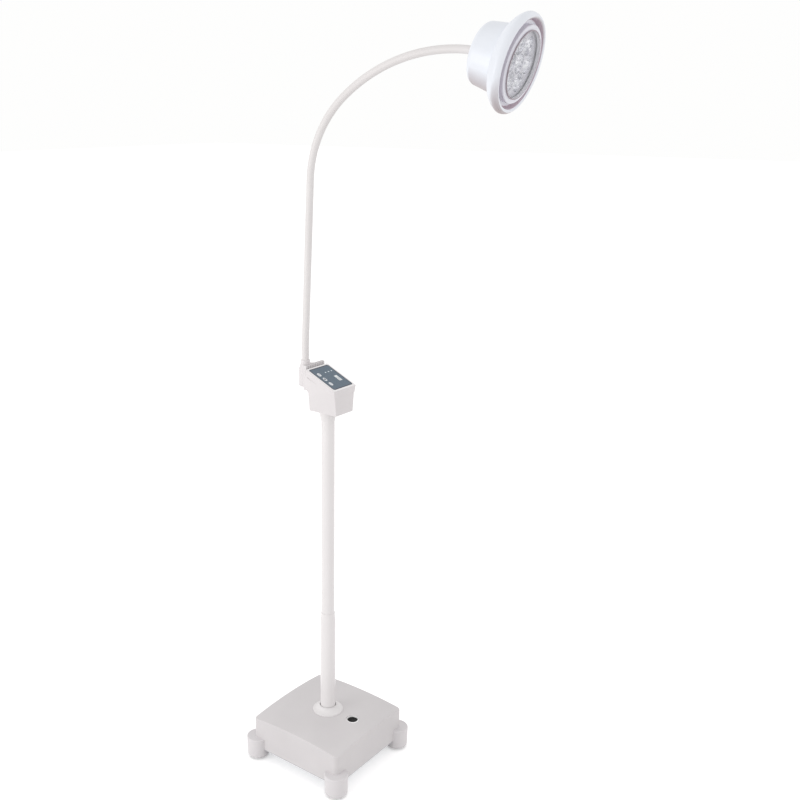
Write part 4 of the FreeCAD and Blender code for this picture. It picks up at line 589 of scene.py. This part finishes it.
def spun(name, outline, placing, around=144, angle=32):
    """A solid of revolution about the placing's Z from a closed outline of (radius, z) in mm."""
    work = bmesh.new()
    columns = []
    for radius, z in outline:
        if radius < 1e-6:
            columns.append([work.verts.new(placing @ Vector((0, 0, z * MM)))])
            continue
        turns = [2 * math.pi * j / around for j in range(around)]
        columns.append([work.verts.new(placing @ Vector((radius * math.cos(turn) * MM,
                                                         radius * math.sin(turn) * MM, z * MM)))
                        for turn in turns])
    for a, b in zip(columns, columns[1:] + columns[:1]):
        for j in range(around):
            after = (j + 1) % around
            corners = [a[j % len(a)], a[after % len(a)], b[after % len(b)], b[j % len(b)]]
            corners = list(dict.fromkeys(corners))
            if len(corners) > 2:
                work.faces.new(corners)
    bmesh.ops.recalc_face_normals(work, faces=work.faces)
    mesh = bpy.data.meshes.new(name)
    work.to_mesh(mesh)
    work.free()
    smoothed(mesh, angle)
    return mesh


DRUM_BACK_R, DRUM_ROUND, DRUM_R, DRUM_LENGTH, SHELL_T = 62.5, 13.0, 69.0, 56.0, 3.0
FERRULE_HOLE_R = 11.05
flat_r = DRUM_BACK_R - DRUM_ROUND
bend = DRUM_ROUND * math.sqrt(0.5)
inner_bend = (DRUM_ROUND - SHELL_T) * math.sqrt(0.5)
drum_outline = [(FERRULE_HOLE_R, 0.0)]
drum_outline += bow((flat_r, 0.0), (flat_r + bend, DRUM_ROUND - bend), (DRUM_BACK_R, DRUM_ROUND), 16)
drum_outline += [(DRUM_R - 0.5, DRUM_LENGTH - 0.6), (DRUM_R - 1.1, DRUM_LENGTH),
                 (DRUM_R - SHELL_T, DRUM_LENGTH)]
drum_outline += list(reversed(bow((flat_r, SHELL_T), (flat_r + inner_bend, DRUM_ROUND - inner_bend),
                                  (DRUM_BACK_R - SHELL_T, DRUM_ROUND), 12)))
drum_outline += [(FERRULE_HOLE_R, SHELL_T)]
head_enamel_and_under_shade = moulded("head_enamel_and_under_shade", (0.83, 0.865, 0.92), roughness=0.40, grain=0.05,
                      grain_size=0.0025, mottle=0.035, coat=0.16)
head_tree = head_enamel_and_under_shade.node_tree
head_colour = head_tree.nodes["Principled BSDF"].inputs["Base Color"]
# painted shade: faces that turn downwards are mixed towards a dark brown
head_facing = head_tree.nodes.new("ShaderNodeNewGeometry")
head_axes = head_tree.nodes.new("ShaderNodeSeparateXYZ")
head_underside_shade = head_tree.nodes.new("ShaderNodeMapRange")
for socket, value in (("From Min", -0.35), ("From Max", -0.95), ("To Min", 0.0), ("To Max", 0.85)):
    head_underside_shade.inputs[socket].default_value = value
head_shade = node_into(head_tree, "ShaderNodeMix", data_type="RGBA")
head_shade.inputs["B"].default_value = (0.30, 0.22, 0.22, 1)
head_tree.links.new(head_facing.outputs["Normal"], head_axes.inputs[0])
head_tree.links.new(head_axes.outputs["Z"], head_underside_shade.inputs["Value"])
head_tree.links.new(head_underside_shade.outputs["Result"], head_shade.inputs["Factor"])
head_tree.links.new(head_colour.links[0].from_socket, head_shade.inputs["A"])
head_tree.links.new(head_shade.outputs["Result"], head_colour)
piece_from("head_drum", spun("head_drum", drum_outline, HEAD), head_enamel_and_under_shade, "head", "head_white",
           "back_housing")

RIM_R, RIM_WIDEST, RIM_FRONT, RIM_BELLY = 97.5, 79.0, 92.5, 4.5
RIM_LIP_R, RIM_LIP_INNER_R = 92.0, 86.5
GROOVE_FLOOR, GROOVE_WALL_R, GROOVE_INNER_R, GROOVE_FLOOR_T = 80.0, 84.0, 76.6, 3.0
LIP_END = (RIM_LIP_INNER_R, RIM_FRONT - 2.0)


def bell_mid(r0, z0, r1, z1, belly):
    """The point that hangs a belly's depth off the middle of a line between two (radius, z) points."""
    length = math.hypot(r1 - r0, z1 - z0)
    return (r0 + r1) / 2 + belly * (z1 - z0) / length, (z0 + z1) / 2 - belly * (r1 - r0) / length


inner_end = (RIM_R - SHELL_T - 1, RIM_WIDEST - 1)
rim_outline = bow((DRUM_R, DRUM_LENGTH), bell_mid(DRUM_R, DRUM_LENGTH, RIM_R, RIM_WIDEST, RIM_BELLY),
                  (RIM_R, RIM_WIDEST), 20)
crown = ((RIM_R + RIM_LIP_R) / 2 + 1.4, (RIM_WIDEST + RIM_FRONT) / 2 + 1.8)
roll = ((RIM_LIP_R + RIM_LIP_INNER_R) / 2 - 0.6, RIM_FRONT - 0.6)
rim_outline += bow((RIM_R, RIM_WIDEST), crown, (RIM_LIP_R, RIM_FRONT), 10)[1:]
rim_outline += bow((RIM_LIP_R, RIM_FRONT), roll, LIP_END, 6)[1:]
rim_outline += [(GROOVE_WALL_R + 0.5, GROOVE_FLOOR + 2.2), (GROOVE_WALL_R, GROOVE_FLOOR + 0.7),
                (GROOVE_WALL_R - 0.8, GROOVE_FLOOR), (GROOVE_INNER_R, GROOVE_FLOOR),
                (GROOVE_INNER_R, GROOVE_FLOOR - GROOVE_FLOOR_T),
                (inner_end[0] - 3, GROOVE_FLOOR - GROOVE_FLOOR_T)]
rim_outline += bow(inner_end, bell_mid(DRUM_R - SHELL_T, DRUM_LENGTH, *inner_end, RIM_BELLY),
                   (DRUM_R - SHELL_T, DRUM_LENGTH), 12)
head_rim = piece_from("head_rim", spun("head_rim", rim_outline, HEAD, around=192), head_enamel_and_under_shade, "head",
                      "head_white", "rim_ring")
# painted shade: the groove's walls and floor are painted a darker mauve
groove_painted_shade = moulded("groove_mauve_painted_shade", (0.60, 0.50, 0.55), roughness=0.5, grain=0.1)
head_back = HEAD.inverted()


def in_groove(face):
    spot = head_back @ face.center / MM
    return math.hypot(spot.x, spot.y) < RIM_LIP_INNER_R and spot.z > GROOVE_FLOOR - 1


# the faces inside the lip take the groove's painted shade
repaint(head_rim, groove_painted_shade, in_groove)

# ---- bezel, gasket and glass ---------------------------------------------------------------------
# The bezel is a lavender-white screw ring on the groove's floor. It clamps the stepped glass, which
# stands a little proud of it in a rubber sleeve. The sleeve's inward faces, in shade, are painted
# pale as painted light.
bezel_enamel = moulded("bezel_enamel", (0.76, 0.77, 0.84), roughness=0.3, grain=0.05,
                       grain_size=0.002, coat=0.4)
piece_from("head_bezel", skin_of("bezel_ring", 40), bezel_enamel, "head", "bezel_lavender",
           "bezel_ring")
gasket_rubber = moulded("gasket_rubber", (0.36, 0.31, 0.34), roughness=0.55, grain=0.2)
head_gasket = piece_from("head_gasket", skin_of("glass_gasket"), gasket_rubber, "head",
                         "black_plastic", "glass_gasket")
# painted light: a pale rubber for the sleeve's inward faces, which lie in shade
gasket_painted_light = moulded("gasket_inside_painted_light", (0.80, 0.78, 0.82), roughness=0.4, grain=0.1)


def faces_inward(face):
    spot = head_back @ face.center / MM
    towards = head_back.to_3x3() @ face.normal
    return towards.x * spot.x + towards.y * spot.y < -0.5 * math.hypot(spot.x, spot.y)


repaint(head_gasket, gasket_painted_light, faces_inward)

clear_glass, glass_tree, glass_shader = new_material("clear_cover_glass")
glass_shader.inputs["Base Color"].default_value = (0.86, 0.90, 0.93, 1)
glass_shader.inputs["Roughness"].default_value = 0.04
glass_shader.inputs["IOR"].default_value = 1.5
smear = node_into(glass_tree, "ShaderNodeTexNoise", Scale=14.0, Detail=5.0)
glass_place = glass_tree.nodes.new("ShaderNodeTexCoord")
glass_tree.links.new(glass_place.outputs["Object"], smear.inputs["Vector"])
haze = node_into(glass_tree, "ShaderNodeMapRange")
haze.inputs["To Min"].default_value = 0.14
haze.inputs["To Max"].default_value = 0.24
glass_tree.links.new(smear.outputs["Fac"], haze.inputs["Value"])
glass_tree.links.new(haze.outputs["Result"], glass_shader.inputs["Alpha"])
piece_from("head_glass", skin_of("front_glass"), clear_glass, "head", "clear_glass", "front_glass")

# ---- reflector cups and light sources ------------------------------------------------------------
# Seven faceted, metallised liners sit in one grey moulding, one in the middle and six round it. At
# the bottom of each is a white light source under a clear dome. The liners' colour is spotted with
# bright patches as painted glints.
moulding_grey = moulded("cup_moulding_grey", (0.66, 0.64, 0.70), roughness=0.28, grain=0.05, coat=0.3)
piece_from("cup_moulding", skin_of("lens_cups"), moulding_grey, "head", "bright_reflector",
           "lens_cups")
CUP_SPACING, CUP_RING, CUP_RING_TURN = 40.0, 6, 30
CUP_FLOOR, CUP_FRONT, CUP_R, CUP_FOOT_R = 67.0, 85.4, 19.0, 7.3
CUP_FACETS, CUP_RINGS, LINER_T = 18, 5, 0.3


def faceted_liner(name):
    """One cup liner about the origin's Z: rings of flat facets, with a wall."""
    work = bmesh.new()
    mid = ((CUP_R + CUP_FOOT_R) / 2 + 2.4, CUP_FLOOR + (CUP_FRONT - CUP_FLOOR) * 0.40)
    line = bow((CUP_FOOT_R, CUP_FLOOR), mid, (CUP_R, CUP_FRONT), CUP_RINGS)
    walls = []
    for inward in (0.0, LINER_T):
        rings = []
        for level, (radius, z) in enumerate(line):
            twist = 0.5 * (level % 2)
            turns = [2 * math.pi * (j + twist) / CUP_FACETS for j in range(CUP_FACETS)]
            rings.append([work.verts.new(((radius - inward) * math.cos(turn) * MM,
                                          (radius - inward) * math.sin(turn) * MM, z * MM))
                          for turn in turns])
        walls.append(rings)
        for level, (a, b) in enumerate(zip(rings, rings[1:])):
            for j in range(CUP_FACETS):
                after = (j + 1) % CUP_FACETS
                if level % 2:
                    work.faces.new((a[j], a[after], b[after]))
                    work.faces.new((a[j], b[after], b[j]))
                else:
                    work.faces.new((a[j], a[after], b[j]))
                    work.faces.new((a[after], b[after], b[j]))
    for level in (0, -1):
        outer, inner = walls[0][level], walls[1][level]
        for j in range(CUP_FACETS):
            after = (j + 1) % CUP_FACETS
            work.faces.new((outer[j], outer[after], inner[after], inner[j]))
    bmesh.ops.recalc_face_normals(work, faces=work.faces)
    mesh = bpy.data.meshes.new(name)
    work.to_mesh(mesh)
    work.free()
    return mesh


def set_out_in_head(name, pattern_mesh, material):
    """Copies a mesh to the middle and to the ring of six places, with geometry nodes."""
    pattern = bpy.data.objects.new(name + "_pattern", pattern_mesh)
    bpy.context.scene.collection.objects.link(pattern)
    tree = bpy.data.node_groups.new(name, "GeometryNodeTree")
    tree.interface.new_socket("Geometry", in_out="INPUT", socket_type="NodeSocketGeometry")
    count = tree.interface.new_socket("Count", in_out="INPUT", socket_type="NodeSocketInt")
    spacing = tree.interface.new_socket("Spacing", in_out="INPUT", socket_type="NodeSocketFloat")
    tree.interface.new_socket("Geometry", in_out="OUTPUT", socket_type="NodeSocketGeometry")
    given = tree.nodes.new("NodeGroupInput")
    result = tree.nodes.new("NodeGroupOutput")
    ring = tree.nodes.new("GeometryNodeMeshCircle")
    turn = tree.nodes.new("GeometryNodeTransform")
    turn.inputs["Rotation"].default_value = (0, 0, math.radians(CUP_RING_TURN))
    middle = tree.nodes.new("GeometryNodePoints")
    points = tree.nodes.new("GeometryNodeMeshToPoints")
    join = tree.nodes.new("GeometryNodeJoinGeometry")
    source = tree.nodes.new("GeometryNodeObjectInfo")
    source.inputs["Object"].default_value = pattern
    copies = tree.nodes.new("GeometryNodeInstanceOnPoints")
    real = tree.nodes.new("GeometryNodeRealizeInstances")
    paint = tree.nodes.new("GeometryNodeSetMaterial")
    paint.inputs["Material"].default_value = material
    link = tree.links.new
    link(given.outputs["Count"], ring.inputs["Vertices"])
    link(given.outputs["Spacing"], ring.inputs["Radius"])
    link(ring.outputs["Mesh"], turn.inputs["Geometry"])
    link(turn.outputs["Geometry"], points.inputs["Mesh"])
    link(points.outputs["Points"], join.inputs["Geometry"])
    link(middle.outputs["Points"], join.inputs["Geometry"])
    link(join.outputs["Geometry"], copies.inputs["Points"])
    link(source.outputs["Geometry"], copies.inputs["Instance"])
    link(copies.outputs["Instances"], real.inputs["Geometry"])
    link(real.outputs["Geometry"], paint.inputs["Geometry"])
    link(paint.outputs["Geometry"], result.inputs["Geometry"])
    carrier = bpy.data.objects.new(name, bpy.data.meshes.new(name))
    bpy.context.scene.collection.objects.link(carrier)
    modifier = carrier.modifiers.new("set_out", "NODES")
    modifier.node_group = tree
    modifier[count.identifier] = CUP_RING
    modifier[spacing.identifier] = CUP_SPACING * MM
    bpy.context.view_layer.update()
    evaluated = carrier.evaluated_get(bpy.context.evaluated_depsgraph_get())
    mesh = bpy.data.meshes.new_from_object(evaluated)
    carrier.modifiers.remove(modifier)
    bpy.data.objects.remove(carrier)
    bpy.data.objects.remove(pattern)
    mesh.transform(HEAD)
    return mesh


liner_metal, liner_tree, liner_shader = new_material("metallised_liner")
liner_place = liner_tree.nodes.new("ShaderNodeTexCoord").outputs["Object"]
# painted glints: bright and dull spots in the liners' metal colour
liner_glints = node_into(liner_tree, "ShaderNodeTexVoronoi", Scale=210.0)
liner_tree.links.new(liner_place, liner_glints.inputs["Vector"])
liner_glint_tint = node_into(liner_tree, "ShaderNodeValToRGB")
liner_glint_tint.color_ramp.elements[0].position = 0.25
liner_glint_tint.color_ramp.elements[0].color = (0.50, 0.49, 0.55, 1)
liner_glint_tint.color_ramp.elements[1].position = 0.75
liner_glint_tint.color_ramp.elements[1].color = (0.98, 0.98, 1.0, 1)
liner_tree.links.new(liner_glints.outputs["Color"], liner_glint_tint.inputs["Fac"])
liner_tree.links.new(liner_glint_tint.outputs["Color"], liner_shader.inputs["Base Color"])
liner_shader.inputs["Metallic"].default_value = 1.0
liner_noise = node_into(liner_tree, "ShaderNodeTexNoise", Scale=220.0, Detail=3.0)
liner_tree.links.new(liner_place, liner_noise.inputs["Vector"])
liner_gloss = node_into(liner_tree, "ShaderNodeMapRange")
liner_gloss.inputs["To Min"].default_value = 0.10
liner_gloss.inputs["To Max"].default_value = 0.26
liner_tree.links.new(liner_noise.outputs["Fac"], liner_gloss.inputs["Value"])
liner_tree.links.new(liner_gloss.outputs["Result"], liner_shader.inputs["Roughness"])
liners = set_out_in_head("cup_liners", faceted_liner("cup_liner"), liner_metal)
piece_from("cup_liners", liners, liner_metal, "head", "bright_reflector")

dome_clear = moulded("source_dome", (0.93, 0.93, 0.86), roughness=0.1, grain=0.02, coat=0.9)
DOME_R, DOME_BACK, DOME_EDGE, DOME_TOP = 4.6, 65.7, 68.2, 73.0
dome_outline = [(0.0, DOME_BACK), (DOME_R, DOME_BACK), (DOME_R, DOME_EDGE)]
dome_outline += bow((DOME_R, DOME_EDGE), (3.3, 71.6), (0.0, DOME_TOP), 8)[1:]
domes = set_out_in_head("source_domes", spun("source_dome", dome_outline, Matrix.Identity(4), 32),
                        dome_clear)
smoothed(domes)
piece_from("source_domes", domes, dome_clear, "head", "led_yellow", "led_chips")

# ---- head fittings -------------------------------------------------------------------------------
# A chromed bush and nut hold the neck in the drum's back. Behind the lamp board is a milled heat
# sink on four screws.
def metal(name, colour, roughness=0.25, brush=0.15, stretch=(900, 900, 30)):
    """Bare or plated metal with fine brush lines and uneven gloss."""
    material, tree, shader = new_material(name)
    shader.inputs["Base Color"].default_value = colour + (1.0,)
    shader.inputs["Metallic"].default_value = 1.0
    place = tree.nodes.new("ShaderNodeTexCoord")
    lines = tree.nodes.new("ShaderNodeMapping")
    lines.inputs["Scale"].default_value = stretch
    tree.links.new(place.outputs["Object"], lines.inputs["Vector"])
    noise = node_into(tree, "ShaderNodeTexNoise", Scale=1.0, Detail=4.0)
    tree.links.new(lines.outputs["Vector"], noise.inputs["Vector"])
    gloss = node_into(tree, "ShaderNodeMapRange")
    gloss.inputs["To Min"].default_value = max(roughness - 0.08, 0.03)
    gloss.inputs["To Max"].default_value = roughness + 0.12
    tree.links.new(noise.outputs["Fac"], gloss.inputs["Value"])
    tree.links.new(gloss.outputs["Result"], shader.inputs["Roughness"])
    bump = node_into(tree, "ShaderNodeBump", Strength=brush, Distance=0.0001)
    tree.links.new(noise.outputs["Fac"], bump.inputs["Height"])
    tree.links.new(bump.outputs["Normal"], shader.inputs["Normal"])
    return material


chrome = metal("ferrule_chrome", (0.66, 0.66, 0.67), roughness=0.16, brush=0.03)
piece_from("head_bush", skin_of("head_ferrule"), chrome, "head", "ferrule_chrome", "head_ferrule")

# ---- pieces inside and under ---------------------------------------------------------------------
# The rest is hidden or looks right as it is built: plates, casters, boards, battery and screws. Each
# gets the finish of its own stuff.
zinc = metal("zinc_plate", (0.50, 0.51, 0.53), roughness=0.38, brush=0.2, stretch=(40, 700, 700))
screw_steel = metal("screw_steel", (0.58, 0.58, 0.60), roughness=0.28, brush=0.1)
sink_metal = metal("sink_aluminium", (0.72, 0.73, 0.75), roughness=0.34, brush=0.25)
iron = moulded("ballast_iron", (0.06, 0.06, 0.065), roughness=0.6, grain=0.9, grain_size=0.004)
black = moulded("black_plastic", (0.02, 0.02, 0.022), roughness=0.42, grain=0.3)
board = moulded("board_green", (0.02, 0.14, 0.07), roughness=0.3, grain=0.5, grain_size=0.0016,
                mottle=0.25)
fork_plastic = moulded("caster_grey", (0.20, 0.20, 0.21), roughness=0.45, grain=0.3)
tyre = moulded("caster_tyre", (0.10, 0.10, 0.105), roughness=0.6, grain=0.5)
FINISHES = {
    "zinc_steel": zinc, "screw_steel": screw_steel, "sink_aluminium": sink_metal,
    "ballast_iron": iron, "black_plastic": black, "board_green": board,
    "caster_grey": fork_plastic, "tyre_grey": tyre,
}
for entry in frame["record"]["subparts"]:
    finish = FINISHES.get(entry["material_slot"])
    if finish is None:
        continue
    solid = frame["nodes"][entry["node"]]
    solid.data.materials.clear()
    solid.data.materials.append(finish)
